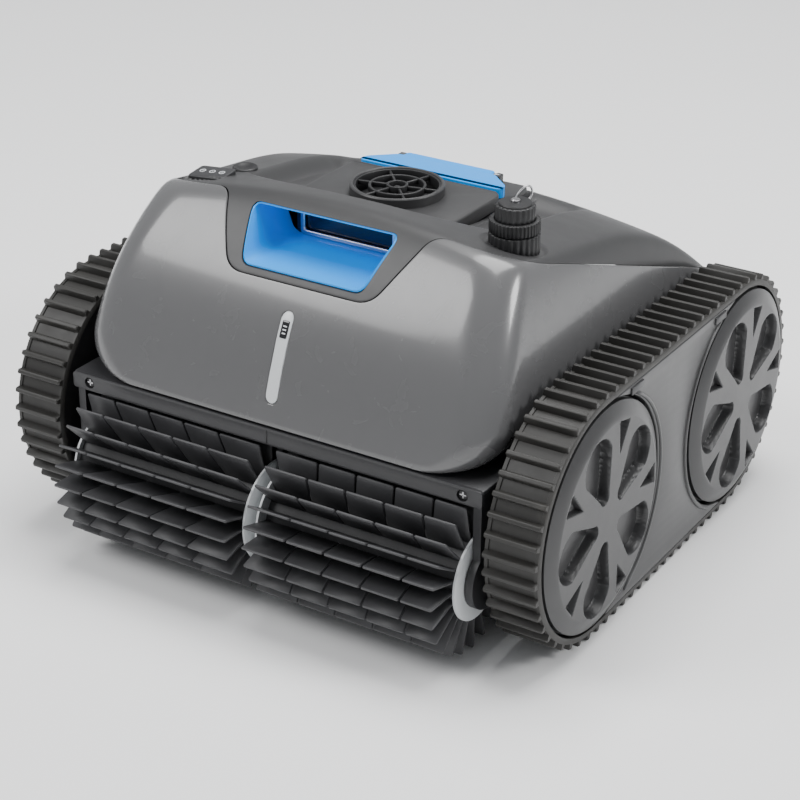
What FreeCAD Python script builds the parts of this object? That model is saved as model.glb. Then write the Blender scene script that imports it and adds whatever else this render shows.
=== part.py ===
import FreeCAD, Part

import math
import os
import re

import Sketcher

# Cordless tracked pool cleaner, millimetres.
# +X is on the right of someone who faces the front, +Y runs to the back, +Z is up.
# Left and right in the names are that person's: right is +X.
# The origin is on the ground, under the middle of the whole machine, brush included.
# Formulas measure Y from midway between the two wheel axles, and place() adds the rest.

DOC = FreeCAD.newDocument("pool_cleaner")
SHEET = DOC.addObject("Spreadsheet::Sheet", "sizes")
FITS = DOC.addObject("App::VarSet", "fits")

SIZES = {
    # tracks and wheels
    "overall_width": 430.0,
    "wheel_base": 218.0,
    "belt_width": 40.0,
    "overcut": 1.0,
    "belt_radius": 87.5,
    "belt_thickness": 3.5,
    "cleat_height": 5.0,
    "cleat_root": 5.0,
    "cleat_tip": 3.0,
    "cleats_per_end": 21,
    "cleats_per_run": 16,
    "wheel_play": 0.8,
    "wheel_margin": 1.0,
    "rim_thickness": 6.0,
    "web_thickness": 5.0,
    "hub_radius": 15.0,
    "shaft_radius": 6.0,
    "shaft_play": 0.06,
    "cap_inset": 2.5,
    "cap_bevel": 4.0,
    "cap_thickness": 10.0,
    "cap_proud": 6.0,
    "petal_count": 5,
    "petal_depth": 6.0,
    "petal_outer_radius": 18.0,
    "petal_margin": 30.5,
    "petal_inner_radius": 5.0,
    "petal_inner_reach": 22.0,
    "petal_angle": 40.0,
    "notch_angle": 4.0,
    "notch_half": 6.5,
    "notch_length": 18.0,
    "notch_margin": 13.5,
    "cover_proud": 1.5,
    "cover_thickness": 5.0,
    "cover_gap": 16.5,
    "cover_drop": 4.0,
    "cover_inset": 14.0,
    # shell and deck
    "body_height": 270.0,
    "belt_gap": 5.6,
    "front_reach": 78.0,
    "back_reach": 87.0,
    "shell_bottom": 134.3,
    "shell_wall": 3.0,
    "side_lean": 30.0,
    "front_lean": 89.0,
    "corner_radius": 28.0,
    "foot_radius": 30.0,
    "crown_drop": 12.0,
    "tail_drop": 116.0,
    "deck_half": 141.0,
    "deck_front_margin": 80.0,
    "deck_back_margin": 7.0,
    "parting_gap": 0.7,
    "tab_bottom_half": 57.0,
    "tab_top_half": 82.0,
    "tab_drop": 46.0,
    "tab_shoulder_drop": 13.0,
    "grip_bottom_half": 49.0,
    "grip_top_half": 60.0,
    "grip_bottom_drop": 42.5,
    "grip_top_drop": 8.5,
    "scoop_depth": 46.0,
    "scoop_wall": 2.0,
    "scoop_clearance": 0.5,
    "window_thickness": 2.0,
    "window_frame_width": 4.0,
    "window_side": 8.0,
    "window_foot": 4.0,
    "window_head": 6.0,
    "window_lap": 1.0,
    "light_half": 4.7,
    "light_low": 150.0,
    "light_high": 209.0,
    "inlay_depth": 1.5,
    "display_half": 2.8,
    "display_low": 193.0,
    "display_high": 203.0,
    "display_depth": 0.7,
    # chassis
    "tub_wall": 3.0,
    "tub_floor": 24.0,
    "tub_gap": 3.0,
    "seal_width": 4.0,
    "tub_back_margin": 10.0,
    "bumper_height": 12.0,
    "bumper_thickness": 3.0,
    "bumper_half": 168.0,
    "bumper_gap": 0.8,
    "screw_x": 153.3,
    "screw_radius": 4.0,
    "screw_sink": 1.0,
    # brush
    "brush_forward": 64.0,
    "brush_height": 62.5,
    "blade_radius": 58.0,
    "blade_count": 24,
    "blade_thickness": 1.6,
    "blade_gaps": 4,
    "blade_gap": 1.6,
    "sleeve_radius": 28.0,
    "core_radius": 26.0,
    "core_wall": 4.0,
    "brush_inner": 6.0,
    "brush_outer": 157.0,
    "disc_radius": 38.0,
    "disc_thickness": 2.5,
    "pin_radius": 4.0,
    "pin_reach": 14.0,
    "brush_play": 0.8,
    "arm_thickness": 6.0,
    "arm_lobe": 22.0,
    "centre_arm_half": 2.0,
    "brush_clearance": 3.0,
    # outlet, pump and filter
    "grille_radius": 34.0,
    "grille_rim": 3.5,
    "grille_hub": 8.0,
    "grille_ring": 20.0,
    "grille_bar": 2.4,
    "grille_proud": 2.0,
    "spoke_count": 6,
    "cover_plate": 4.0,
    "filter_cover_top": 256.0,
    "recess_depth": 13.0,
    "outlet_setback": 84.0,
    "basket_setback": 45.0,
    "basket_length": 120.0,
    "recess_setback": 122.5,
    "basket_half": 64.0,
    "basket_wall": 2.0,
    "basket_window_margin": 25.0,
    "basket_window_setback": 20.0,
    "basket_window_width": 24.0,
    "basket_floor": 78.0,
    "hatch_gap": 1.5,
    "duct_radius": 34.0,
    "duct_wall": 2.0,
    "duct_gap": 1.5,
    "duct_bottom": 140.0,
    "rib_drop": 6.0,
    "rib_sink": 0.2,
    "pump_radius": 27.0,
    "pump_height": 112.0,
    "prop_radius": 31.0,
    "prop_hub": 9.0,
    "prop_height": 14.0,
    "prop_blades": 3,
    "prop_shaft": 3.0,
    "prop_gap": 10.0,
    "prop_pitch": 32.0,
    "prop_chord": 17.0,
    "prop_blade_thickness": 2.2,
    # blue lifting handle of the filter
    "handle_half": 60.0,
    "handle_play": 1.1,
    "handle_reach": 33.4,
    "handle_straight": 11.4,
    "lug_play": 0.8,
    "handle_back_half": 38.0,
    "handle_thickness": 7.0,
    "handle_gap": 1.2,
    "handle_pin_radius": 2.5,
    "handle_pin_play": 0.08,
    "handle_lug": 5.0,
    # controls and charging port
    "panel_x": -123.5,
    "panel_setback": 31.0,
    "panel_length": 32.0,
    "panel_width": 20.0,
    "panel_rise": 2.0,
    "button_x": -116.0,
    "button_setback": 61.0,
    "button_radius": 9.5,
    "button_top": 254.5,
    "button_height": 8.0,
    "button_play": 0.5,
    "port_x": 122.0,
    "port_setback": 35.0,
    "port_radius": 16.5,
    "port_bore": 11.0,
    "port_top": 264.0,
    "port_depth": 24.0,
    "ring_radius": 17.0,
    "ring_height": 9.0,
    "ring_teeth": 24,
    "ring_tooth": 1.0,
    "cap_plug_radius": 10.5,
    "cap_body_radius": 13.6,
    "cap_top": 284.0,
    "cap_boss": 3.0,
    "cap_gap": 0.5,
    "plug_depth": 14.0,
    "pin_length": 5.0,
    "pin_spread": 3.5,
    "port_floor": 4.0,
    "tether_radius": 0.8,
    "tether_loop": 7.0,
    # drive, battery, electronics and intake
    "motor_length": 62.0,
    "motor_radius": 19.0,
    "gearbox_length": 26.0,
    "gearbox_half": 27.0,
    "battery_length": 130.0,
    "battery_width": 62.0,
    "battery_height": 52.0,
    "battery_gap": 4.0,
    "board_length": 120.0,
    "board_setback": 16.0,
    "board_width": 46.0,
    "board_height": 14.0,
    "plate_thickness": 5.0,
    "plate_half": 120.0,
    "slot_half": 58.0,
    "slot_setback": 10.0,
    "slot_width": 26.0,
    "flap_thickness": 2.0,
    "flap_overlap": 3.0,
    "flap_lift": 0.5,
    "flap_lug": 5.0,
    "flap_lug_gap": 2.0,
    "flap_knuckle": 3.0,
    "flap_pin": 1.4,
    "flap_pin_play": 0.08,
}

DERIVED = {
    "track_outer": "overall_width / 2",
    "track_inner": "overall_width / 2 - belt_width",
    "half_base": "wheel_base / 2",
    "axle_height": "belt_radius + cleat_height",
    "cap_radius": "belt_radius - belt_thickness - cap_inset",
    "petal_outer_reach": "cap_radius - petal_margin",
    "notch_outer": "cap_radius - notch_margin",
    "notch_inner": "notch_outer - notch_length",
    "cover_relief": "cap_radius + cover_gap",
    "cover_bottom": "axle_height - belt_radius + cover_drop",
    "cover_top": "axle_height + belt_radius - cover_drop",
    "middle_y": "(brush_forward + blade_radius - axle_height) / 2",
    "rim_radius": "belt_radius - belt_thickness - wheel_play",
    "shell_half": "track_inner - belt_gap",
    "front_face": "-(half_base + front_reach)",
    "back_face": "half_base + back_reach",
    "tub_half": "shell_half - tub_wall",
    "tub_top": "shell_bottom - tub_gap",
    "brush_y": "-(half_base + brush_forward)",
    "tub_front": "brush_y + blade_radius + brush_clearance",
    "tub_back": "back_face - tub_back_margin",
    "deck_front": "front_face + deck_front_margin",
    "deck_back": "back_face - deck_back_margin",
    "outlet_back": "deck_front + outlet_setback",
    "basket_front": "deck_front + basket_setback",
    "basket_back": "basket_front + basket_length",
    "recess_front": "deck_front + recess_setback",
    "handle_front": "recess_front + handle_play",
    "handle_pin_y": "handle_front + handle_reach",
    "handle_side": "handle_front + handle_straight",
    "panel_y": "deck_front + panel_setback",
    "button_y": "deck_front + button_setback",
    "port_y": "deck_front + port_setback",
    "slot_front": "tub_front + slot_setback",
    "slot_back": "slot_front + slot_width",
    "bumper_top": "shell_bottom - bumper_gap",
    "bumper_front": "front_face - bumper_thickness / 2",
    "arm_inner": "brush_outer + disc_thickness + brush_play",
    "shaft_bore": "shaft_radius + shaft_play",
    "tub_floor_top": "tub_floor + tub_wall",
    "cover_low": "filter_cover_top - cover_plate",
    "recess_top": "filter_cover_top - recess_depth",
    "handle_low": "recess_top + handle_gap",
    "handle_axis": "recess_top + handle_gap + handle_thickness / 2",
    "prop_low": "duct_bottom + prop_gap",
    "ring_low": "port_top + cap_gap",
}


def expand(text):
    """Turn plain size names in a formula into references to the sheet and the fits."""
    def reference(match):
        word = match.group(0)
        if word in SIZES:
            return "sizes." + word
        if word in DERIVED:
            return "fits." + word
        return word
    return re.sub(r"[a-z_]+", reference, text)


def fill_sheet():
    """Write the driving sizes to the sheet and the fits that follow from them."""
    for row, (alias, size) in enumerate(SIZES.items(), start=1):
        SHEET.set(f"A{row}", alias)
        SHEET.set(f"B{row}", str(size))
        SHEET.setAlias(f"B{row}", alias)
    DOC.recompute()
    for name, formula in DERIVED.items():
        FITS.addProperty("App::PropertyFloat", name, "Fits")
        FITS.setExpression(name, expand(formula))
        DOC.recompute()


def value(name):
    """Number held by a driving size or a fit."""
    if name in SIZES:
        return float(SHEET.get(name))
    return float(getattr(FITS, name))


def bind(thing, formulas):
    """Tie an object's properties to formulas of the sizes."""
    for prop, formula in formulas.items():
        thing.setExpression(prop, expand(formula))
    return thing


def place(thing, point):
    """Tie an object's position to three formulas, measured from midway between the axles."""
    across, along, up = point
    return bind(thing, {"Placement.Base.x": across, "Placement.Base.y": f"({along}) + middle_y",
                        "Placement.Base.z": up})


def box(name, low, high):
    """Box between two corners given as formulas."""
    block = DOC.addObject("Part::Box", name)
    spans = [f"({top}) - ({bottom})" for bottom, top in zip(low, high)]
    bind(block, dict(zip(("Length", "Width", "Height"), spans)))
    return place(block, low)


TURNS = {
    "X": FreeCAD.Rotation(FreeCAD.Vector(0, 1, 0), 90),
    "Y": FreeCAD.Rotation(FreeCAD.Vector(1, 0, 0), -90),
    "Z": FreeCAD.Rotation(),
}


def rod(name, axis, start, length, radius):
    """Cylinder from a start point along a row axis."""
    bar = DOC.addObject("Part::Cylinder", name)
    bar.Placement.Rotation = TURNS[axis]
    bind(bar, {"Radius": radius, "Height": length})
    return place(bar, start)


def fuse(name, *shapes):
    """One solid from several touching ones."""
    joined = DOC.addObject("Part::MultiFuse", name)
    joined.Shapes = list(shapes)
    joined.Refine = True
    return joined


def cut(name, base, *tools):
    """The base with every tool taken out of it."""
    tool = tools[0] if len(tools) == 1 else fuse(name + "_tools", *tools)
    result = DOC.addObject("Part::Cut", name)
    result.Base = base
    result.Tool = tool
    return result


def common(name, *shapes):
    """What several solids share."""
    shared = DOC.addObject("Part::MultiCommon", name)
    shared.Shapes = list(shapes)
    return shared


def group(name, *shapes):
    """Several separate solids that share one node."""
    bundle = DOC.addObject("Part::Compound", name)
    bundle.Links = list(shapes)
    return bundle


def mirror(name, source):
    """Copy of a piece on the other side of the centre plane."""
    twin = DOC.addObject("Part::Mirroring", name)
    twin.Source = source
    twin.Normal = FreeCAD.Vector(1, 0, 0)
    return twin


def feature(name, shape):
    """Piece whose shape is worked out here, round the point midway between the axles."""
    thing = DOC.addObject("Part::Feature", name)
    thing.Shape = shape
    return place(thing, ("0", "0", "0"))


def vector(x, y, z):
    """Point in the row frame."""
    return FreeCAD.Vector(x, y, z)


def prism(points, direction):
    """Solid swept from a closed polygon along a vector."""
    wire = Part.makePolygon(points + points[:1])
    return Part.Face(wire).extrude(direction)


def rounded_rectangle(half, front, back, radius, height):
    """Level wire with round corners, symmetric about the centre plane."""
    reach = radius * (1 - math.sqrt(0.5))
    edges = []
    corners = [(half, back, 1, 1), (-half, back, -1, 1), (-half, front, -1, -1), (half, front, 1, -1)]
    ends = []
    for x, y, side, end in corners:
        along_y = vector(x, y - end * radius, height)
        middle = vector(x - side * reach, y - end * reach, height)
        along_x = vector(x - side * radius, y, height)
        ordered = (along_y, middle, along_x) if side * end > 0 else (along_x, middle, along_y)
        ends.append(ordered)
    for index, (first, middle, last) in enumerate(ends):
        edges.append(Part.Arc(first, middle, last).toShape())
        following = ends[(index + 1) % len(ends)][0]
        edges.append(Part.LineSegment(last, following).toShape())
    return Part.Wire(edges)


def shell_form(inset):
    """Outer form of the body, or the same form drawn in by an even inset."""
    half = value("shell_half") - inset
    front = value("front_face") + inset
    back = value("back_face") - inset
    height = value("body_height")
    bottom = value("shell_bottom")
    low = bottom - value("foot_radius")
    corner = value("corner_radius") - inset
    rise = height - bottom
    side_lean = value("side_lean")
    front_lean = value("front_lean")
    # share of the height, of the side's lean and of the front's lean reached at each level
    levels = ((0.0, 0.0, 0.0), (0.12, 0.0, 0.03), (0.34, 0.1, 0.17), (0.55, 0.27, 0.32),
              (0.78, 0.58, 0.56), (1.04, 1.0, 1.0))
    wires = [rounded_rectangle(half, front, back, corner, low)]
    for up, lean_in, lean_back in levels:
        wires.append(rounded_rectangle(half - lean_in * side_lean, front + lean_back * front_lean,
                                       back, corner, bottom + up * rise))
    walls = Part.makeLoft(wires, True, False)
    return walls.common(roof_prism(inset)).common(arch_prism(inset))


def roof_line(inset):
    """Roof seen from the side: level behind the grip bar, then falling to the tail."""
    height = value("body_height") - inset
    front = value("deck_front")
    back = value("back_face")
    tail = value("tail_drop")
    span = back - front
    # share of the deck's length and of the tail's drop
    stations = ((-0.1, 0.0), (0.03, 0.0), (0.16, 0.06), (0.3, 0.115), (0.45, 0.17), (0.62, 0.33),
                (0.78, 0.56), (0.9, 0.8), (1.02, 1.02))
    points = [vector(0, front + along * span, height - drop * tail) for along, drop in stations]
    spline = Part.BSplineCurve()
    spline.interpolate(points)
    return spline


def roof_prism(inset):
    """Everything under the roof line."""
    reach = value("overall_width")
    line = roof_line(inset)
    first = line.StartPoint
    last = line.EndPoint
    corners = [last, vector(0, last.y, 0), vector(0, 2 * value("front_face"), 0),
               vector(0, 2 * value("front_face"), first.z), first]
    edges = [line.toShape()]
    for start, end in zip(corners, corners[1:]):
        edges.append(Part.LineSegment(start, end).toShape())
    solid = Part.Face(Part.Wire(edges)).extrude(vector(reach, 0, 0))
    solid.translate(vector(-reach / 2, 0, 0))
    return solid


def arch_prism(inset):
    """Everything inside the front view: round feet below, a shallow arch on top."""
    half = value("shell_half") - inset
    low = value("shell_bottom") + inset
    high = value("body_height") - inset
    shoulder = high - value("crown_drop")
    deck_half = value("deck_half")
    foot = value("foot_radius") - inset
    reach = foot * (1 - math.sqrt(0.5))
    depth = 2 * (value("back_face") - value("front_face"))
    start = value("front_face") - depth / 4

    def arc(first, middle, last):
        return Part.Arc(first, middle, last).toShape()

    def line(first, last):
        return Part.LineSegment(first, last).toShape()

    right_foot = (vector(half - foot, start, low), vector(half - reach, start, low + reach),
                  vector(half, start, low + foot))
    left_foot = [vector(-point.x, start, point.z) for point in right_foot]
    right_top = vector(half, start, shoulder)
    left_top = vector(-half, start, shoulder)
    right_rim = vector(deck_half, start, shoulder)
    left_rim = vector(-deck_half, start, shoulder)
    edges = [arc(*right_foot), line(right_foot[2], right_top), line(right_top, right_rim),
             arc(right_rim, vector(0, start, high), left_rim), line(left_rim, left_top),
             line(left_top, left_foot[2]), arc(left_foot[2], left_foot[1], left_foot[0]),
             line(left_foot[0], right_foot[0])]
    return Part.Face(Part.Wire(edges)).extrude(vector(0, depth, 0))


def deck_region(gap):
    """Column over the deck and the grip's tab, grown by a gap, that parts deck from shell."""
    half = value("deck_half") + gap
    front = value("deck_front") - gap
    back = value("deck_back") + gap
    corner = value("corner_radius") + gap
    bottom = value("shell_bottom") + value("foot_radius") / 2
    tall = value("body_height")
    column = Part.Face(rounded_rectangle(half, front, back, corner, bottom)).extrude(vector(0, 0, tall))
    low = tall - value("tab_drop") - gap
    shoulder = tall - value("tab_shoulder_drop")
    narrow = value("tab_bottom_half") + gap
    wide = value("tab_top_half") + gap
    start = 2 * value("front_face")
    outline = [vector(x, start, z) for x, z in
               ((-narrow, low), (narrow, low), (wide, shoulder), (wide, 2 * tall),
                (-wide, 2 * tall), (-wide, shoulder))]
    tab = prism(outline, vector(0, front + corner - start, 0))
    return column.fuse(tab)


def grip_prism(clearance, start, end):
    """Straight column of the grip opening, widening to the top, between two Y places."""
    tall = value("body_height")
    low = tall - value("grip_bottom_drop") - clearance
    high = tall - value("grip_top_drop") + clearance
    narrow = value("grip_bottom_half") + clearance
    wide = value("grip_top_half") + clearance
    outline = [vector(x, start, z) for x, z in
               ((-narrow, low), (narrow, low), (wide, high), (-wide, high))]
    return prism(outline, vector(0, end - start, 0))


def stadium(name, half, low, high):
    """Upright bar with round ends, running right through the front wall."""
    depth = "front_lean + front_reach"
    middle = box(name + "_middle", (f"-{half}", "front_face - front_reach", f"{low} + {half}"),
                 (half, f"front_face - front_reach + {depth}", f"{high} - {half}"))
    start_low = ("0", "front_face - front_reach", f"{low} + {half}")
    start_high = ("0", "front_face - front_reach", f"{high} - {half}")
    return fuse(name, middle, rod(name + "_foot", "Y", start_low, depth, half),
                rod(name + "_head", "Y", start_high, depth, half))


def make_shell():
    """Body shell, deck, light bar and display, all cut from one outer form."""
    wall = value("shell_wall")
    outer = feature("outer_form", shell_form(0))
    inner = feature("inner_form", shell_form(wall))
    inlay = feature("inlay_form", shell_form(value("inlay_depth")))
    display_floor = feature("display_form", shell_form(value("display_depth")))
    skin = cut("skin", outer, inner)
    region = feature("deck_column", deck_region(0))
    region_gap = feature("deck_column_gap", deck_region(value("parting_gap")))
    foot_open = box("foot_opening", ("-(shell_half - foot_radius)", "front_face + shell_wall", "tub_floor"),
                    ("shell_half - foot_radius", "back_face - shell_wall",
                     "shell_bottom + foot_radius / 3"))
    light_column = stadium("light_column", "light_half", "light_low", "light_high")
    light_slot = cut("light_slot", light_column, inlay)
    bare_shell = cut("bare_shell", skin, region_gap, foot_open)
    shell = cut("body_shell", bare_shell, light_slot)
    display_column = box("display_column",
                         ("-display_half", "front_face - front_reach", "display_low"),
                         ("display_half", "front_face + front_lean", "display_high"))
    light_skin = cut("light_skin", common("light_block", light_column, outer), inlay)
    display_skin = cut("display_skin", common("display_block", display_column, outer), display_floor)
    light = cut("light_bar", light_skin, display_skin)
    display = display_skin
    display.Label = "display_window"
    deck_skin = common("deck_skin", skin, region)
    return shell, deck_skin, light, display


def make_deck(deck_skin):
    """Deck with its holes, and the blue scoop with the window behind the grip."""
    start = 2 * value("front_face")
    front = value("front_face")
    back = value("deck_front") + value("scoop_depth") / 2
    grip = feature("grip_column", grip_prism(0, start, back))
    hatch = box("hatch", ("-(basket_half + hatch_gap)", "basket_front - hatch_gap", "tub_top"),
                ("basket_half + hatch_gap", "basket_back + hatch_gap", "2 * body_height"))
    port_hole = rod("port_hole", "Z", ("port_x", "port_y", "tub_top"), "body_height",
                    "port_radius + parting_gap / 2")
    button_hole = rod("button_hole", "Z", ("button_x", "button_y", "tub_top"), "body_height",
                      "button_radius + button_play")
    deck = cut("top_deck", deck_skin, grip, hatch, port_hole, button_hole)

    clear = value("scoop_clearance")
    wall = value("scoop_wall")
    inner_form = shell_form(value("shell_wall") + clear)
    outside = grip_prism(wall, front, back).common(inner_form)
    hollow = grip_prism(0, start, back - wall)
    scoop_shell = feature("scoop_shell", outside.cut(hollow))
    frame_half = "(grip_bottom_half - window_side)"
    window_low = "body_height - grip_bottom_drop + window_foot"
    window_high = "body_height - grip_top_drop - window_head"
    back_text = "deck_front + scoop_depth / 2 - scoop_wall"
    window_hole = box("window_hole", (f"-{frame_half}", back_text, window_low),
                      (frame_half, f"{back_text} + 2 * scoop_wall", window_high))
    scoop = cut("grip_scoop", scoop_shell, window_hole)
    glass = box("chamber_window", (f"-{frame_half}", back_text, window_low),
                (frame_half, f"{back_text} + window_thickness", window_high))
    rim = "window_frame_width"
    lap = "window_lap"
    frame_block = box("frame_block",
                      (f"-{frame_half} - {lap}", f"{back_text} - window_thickness",
                       f"{window_low} - {lap}"),
                      (f"{frame_half} + {lap}", back_text, f"{window_high} + {lap}"))
    frame_hole = box("frame_hole",
                     (f"-{frame_half} + {rim}", f"{back_text} - 2 * window_thickness",
                      f"{window_low} + {rim}"),
                     (f"{frame_half} - {rim}", f"{back_text} + window_thickness", f"{window_high} - {rim}"))
    frame = cut("window_frame", frame_block, frame_hole)
    return deck, scoop, glass, frame


def belt_section():
    """Toothed loop of one track in its side view, with a cleat at every step."""
    radius = value("belt_radius")
    height = value("cleat_height")
    root = value("cleat_root") / 2
    tip = value("cleat_tip") / 2
    base = value("half_base")
    per_end = int(value("cleats_per_end"))
    per_run = int(value("cleats_per_run"))
    level = value("axle_height")
    points = []

    def add_cleat(y, z, along_y, along_z):
        out_y, out_z = along_z, -along_y
        for shift, rise in ((-root, 0.0), (-tip, height), (tip, height), (root, 0.0)):
            points.append(vector(0, y + shift * along_y + rise * out_y,
                                 level + z + shift * along_z + rise * out_z))

    def add_run(direction):
        step = 2 * base / per_run
        for index in range(per_run):
            y = direction * (-base + (index + 0.5) * step)
            add_cleat(y, -direction * radius, direction, 0.0)

    def add_end(direction):
        step = math.pi / per_end
        for index in range(per_end):
            angle = -direction * math.pi / 2 + (index + 0.5) * step
            y = direction * base + radius * math.cos(angle)
            add_cleat(y, radius * math.sin(angle), -math.sin(angle), math.cos(angle))

    add_run(1)
    add_end(1)
    add_run(-1)
    add_end(-1)
    return points


def stadium_prism(radius, start, length):
    """Solid loop outline round both axles."""
    base = value("half_base")
    level = value("axle_height")
    front = vector(start, -base, level)
    back = vector(start, base, level)
    top = vector(0, 0, radius)
    edges = [Part.LineSegment(front + top, back + top).toShape(),
             Part.Arc(back + top, back + vector(0, radius, 0), back - top).toShape(),
             Part.LineSegment(back - top, front - top).toShape(),
             Part.Arc(front - top, front - vector(0, radius, 0), front + top).toShape()]
    return Part.Face(Part.Wire(edges)).extrude(vector(length, 0, 0))


def make_track():
    """Cleated belt and the cover between its wheels, on the right side."""
    inner = value("track_inner")
    width = value("belt_width")
    outline = prism([point + vector(inner, 0, 0) for point in belt_section()], vector(width, 0, 0))
    inside = stadium_prism(value("belt_radius") - value("belt_thickness"), inner - width, 3 * width)
    belt = feature("right_track_belt", outline.cut(inside))
    relief = "cover_relief"
    cover_face = "track_outer + cover_proud - cover_thickness"
    cover_block = box("cover_block", (cover_face, "-half_base", "cover_bottom"),
                      ("track_outer + cover_proud", "half_base", "cover_top"))
    front_bite = rod("cover_front_bite", "X", (f"{cover_face} - overcut", "-half_base", "axle_height"),
                     "cover_thickness + 2 * overcut", relief)
    back_bite = rod("cover_back_bite", "X", (f"{cover_face} - overcut", "half_base", "axle_height"),
                    "cover_thickness + 2 * overcut", relief)
    leg = box("cover_leg", ("shell_half - tub_wall", "-cover_inset / 2", "axle_height - cover_inset"),
              (cover_face, "cover_inset / 2", "axle_height + cover_inset"))
    cover = fuse("right_side_cover", cut("cover_plate_cut", cover_block, front_bite, back_bite), leg)
    return belt, cover


def teardrop_sketch(body, name):
    """Petal outline: a wide round end, a narrow round end and two tangent sides."""
    sketch = body.newObject("Sketcher::SketchObject", name)
    plane = [item for item in body.Origin.OriginFeatures if item.Role == "YZ_Plane"][0]
    sketch.AttachmentSupport = [(plane, "")]
    sketch.MapMode = "FlatFace"
    wide = value("petal_outer_radius")
    narrow = value("petal_inner_radius")
    far = value("petal_outer_reach")
    near = value("petal_inner_reach")
    lean = math.asin((wide - narrow) / (far - near))
    side = math.pi / 2 + lean
    normal = vector(0, 0, 1)
    wide_circle = Part.Circle(vector(far, 0, 0), normal, wide)
    narrow_circle = Part.Circle(vector(near, 0, 0), normal, narrow)
    sketch.addGeometry(Part.ArcOfCircle(wide_circle, -side, side))
    sketch.addGeometry(Part.ArcOfCircle(narrow_circle, side, 2 * math.pi - side))
    ends = [vector(centre + radius * math.cos(side), sign * radius * math.sin(side), 0)
            for sign in (1, -1) for centre, radius in ((far, wide), (near, narrow))]
    sketch.addGeometry(Part.LineSegment(ends[0], ends[1]))
    sketch.addGeometry(Part.LineSegment(ends[3], ends[2]))
    for first, first_end, second, second_end in ((0, 2, 2, 1), (2, 2, 1, 1), (1, 2, 3, 1), (3, 2, 0, 1)):
        sketch.addConstraint(Sketcher.Constraint("Tangent", first, first_end, second, second_end))
    for arc, radius, reach in ((0, "petal_outer_radius", "petal_outer_reach"),
                               (1, "petal_inner_radius", "petal_inner_reach")):
        sketch.addConstraint(Sketcher.Constraint("PointOnObject", arc, 3, -1))
        index = sketch.addConstraint(Sketcher.Constraint("Radius", arc, value(radius)))
        sketch.setExpression(f"Constraints[{index}]", expand(radius))
        index = sketch.addConstraint(Sketcher.Constraint("DistanceX", -1, 1, arc, 3, value(reach)))
        sketch.setExpression(f"Constraints[{index}]", expand(reach))
    return sketch


def notch_sketch(body, name):
    """Small triangular notch, pointing to the hub."""
    sketch = body.newObject("Sketcher::SketchObject", name)
    plane = [item for item in body.Origin.OriginFeatures if item.Role == "YZ_Plane"][0]
    sketch.AttachmentSupport = [(plane, "")]
    sketch.MapMode = "FlatFace"
    turn = math.radians(value("notch_angle") - value("petal_angle"))
    corners = ((value("notch_inner"), 0.0), (value("notch_outer"), value("notch_half")),
               (value("notch_outer"), -value("notch_half")))
    points = [vector(x * math.cos(turn) - y * math.sin(turn), x * math.sin(turn) + y * math.cos(turn), 0)
              for x, y in corners]
    for first, second in ((0, 1), (1, 2), (2, 0)):
        sketch.addGeometry(Part.LineSegment(points[first], points[second]))
    for first in range(3):
        sketch.addConstraint(Sketcher.Constraint("Coincident", first, 2, (first + 1) % 3, 1))
    return sketch


def petal_pattern(body, pocket, name):
    """Repeat one pocket evenly round the cap's axis."""
    pattern = body.newObject("PartDesign::PolarPattern", name)
    pattern.Originals = [pocket]
    axis = [item for item in body.Origin.OriginFeatures if item.Role == "X_Axis"][0]
    pattern.Axis = (axis, [""])
    pattern.Angle = 360
    bind(pattern, {"Occurrences": "petal_count"})
    body.Tip = pattern
    return pattern


def make_hub_cap(name, base):
    """Round wheel cap with petal pockets and notches, on the right side."""
    body = DOC.addObject("PartDesign::Body", name)
    disc = body.newObject("PartDesign::AdditiveCylinder", name + "_disc")
    plane = [item for item in body.Origin.OriginFeatures if item.Role == "YZ_Plane"][0]
    disc.AttachmentSupport = [(plane, "")]
    disc.MapMode = "FlatFace"
    bind(disc, {"Radius": "cap_radius", "Height": "cap_thickness"})
    DOC.recompute()
    rim_edges = [f"Edge{number}" for number, edge in enumerate(disc.Shape.Edges, start=1)
                 if abs(edge.CenterOfMass.x - value("cap_thickness")) < 0.01 and edge.Closed]
    bevel = body.newObject("PartDesign::Chamfer", name + "_bevel")
    bevel.Base = (disc, rim_edges)
    bind(bevel, {"Size": "cap_bevel"})
    DOC.recompute()
    for kind, draw in (("petal", teardrop_sketch), ("notch", notch_sketch)):
        sketch = draw(body, f"{name}_{kind}_outline")
        pocket = body.newObject("PartDesign::Pocket", f"{name}_{kind}")
        pocket.Profile = sketch
        pocket.Reversed = True
        bind(pocket, {"Length": "cap_thickness"})
        bind(sketch, {"AttachmentOffset.Base.z": "cap_thickness - petal_depth"})
        DOC.recompute()
        petal_pattern(body, pocket, f"{name}_{kind}s")
        DOC.recompute()
    body.Placement.Rotation = FreeCAD.Rotation(vector(1, 0, 0), value("petal_angle"))
    return place(body, ("track_outer + cap_proud - cap_thickness", base, "axle_height"))


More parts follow.
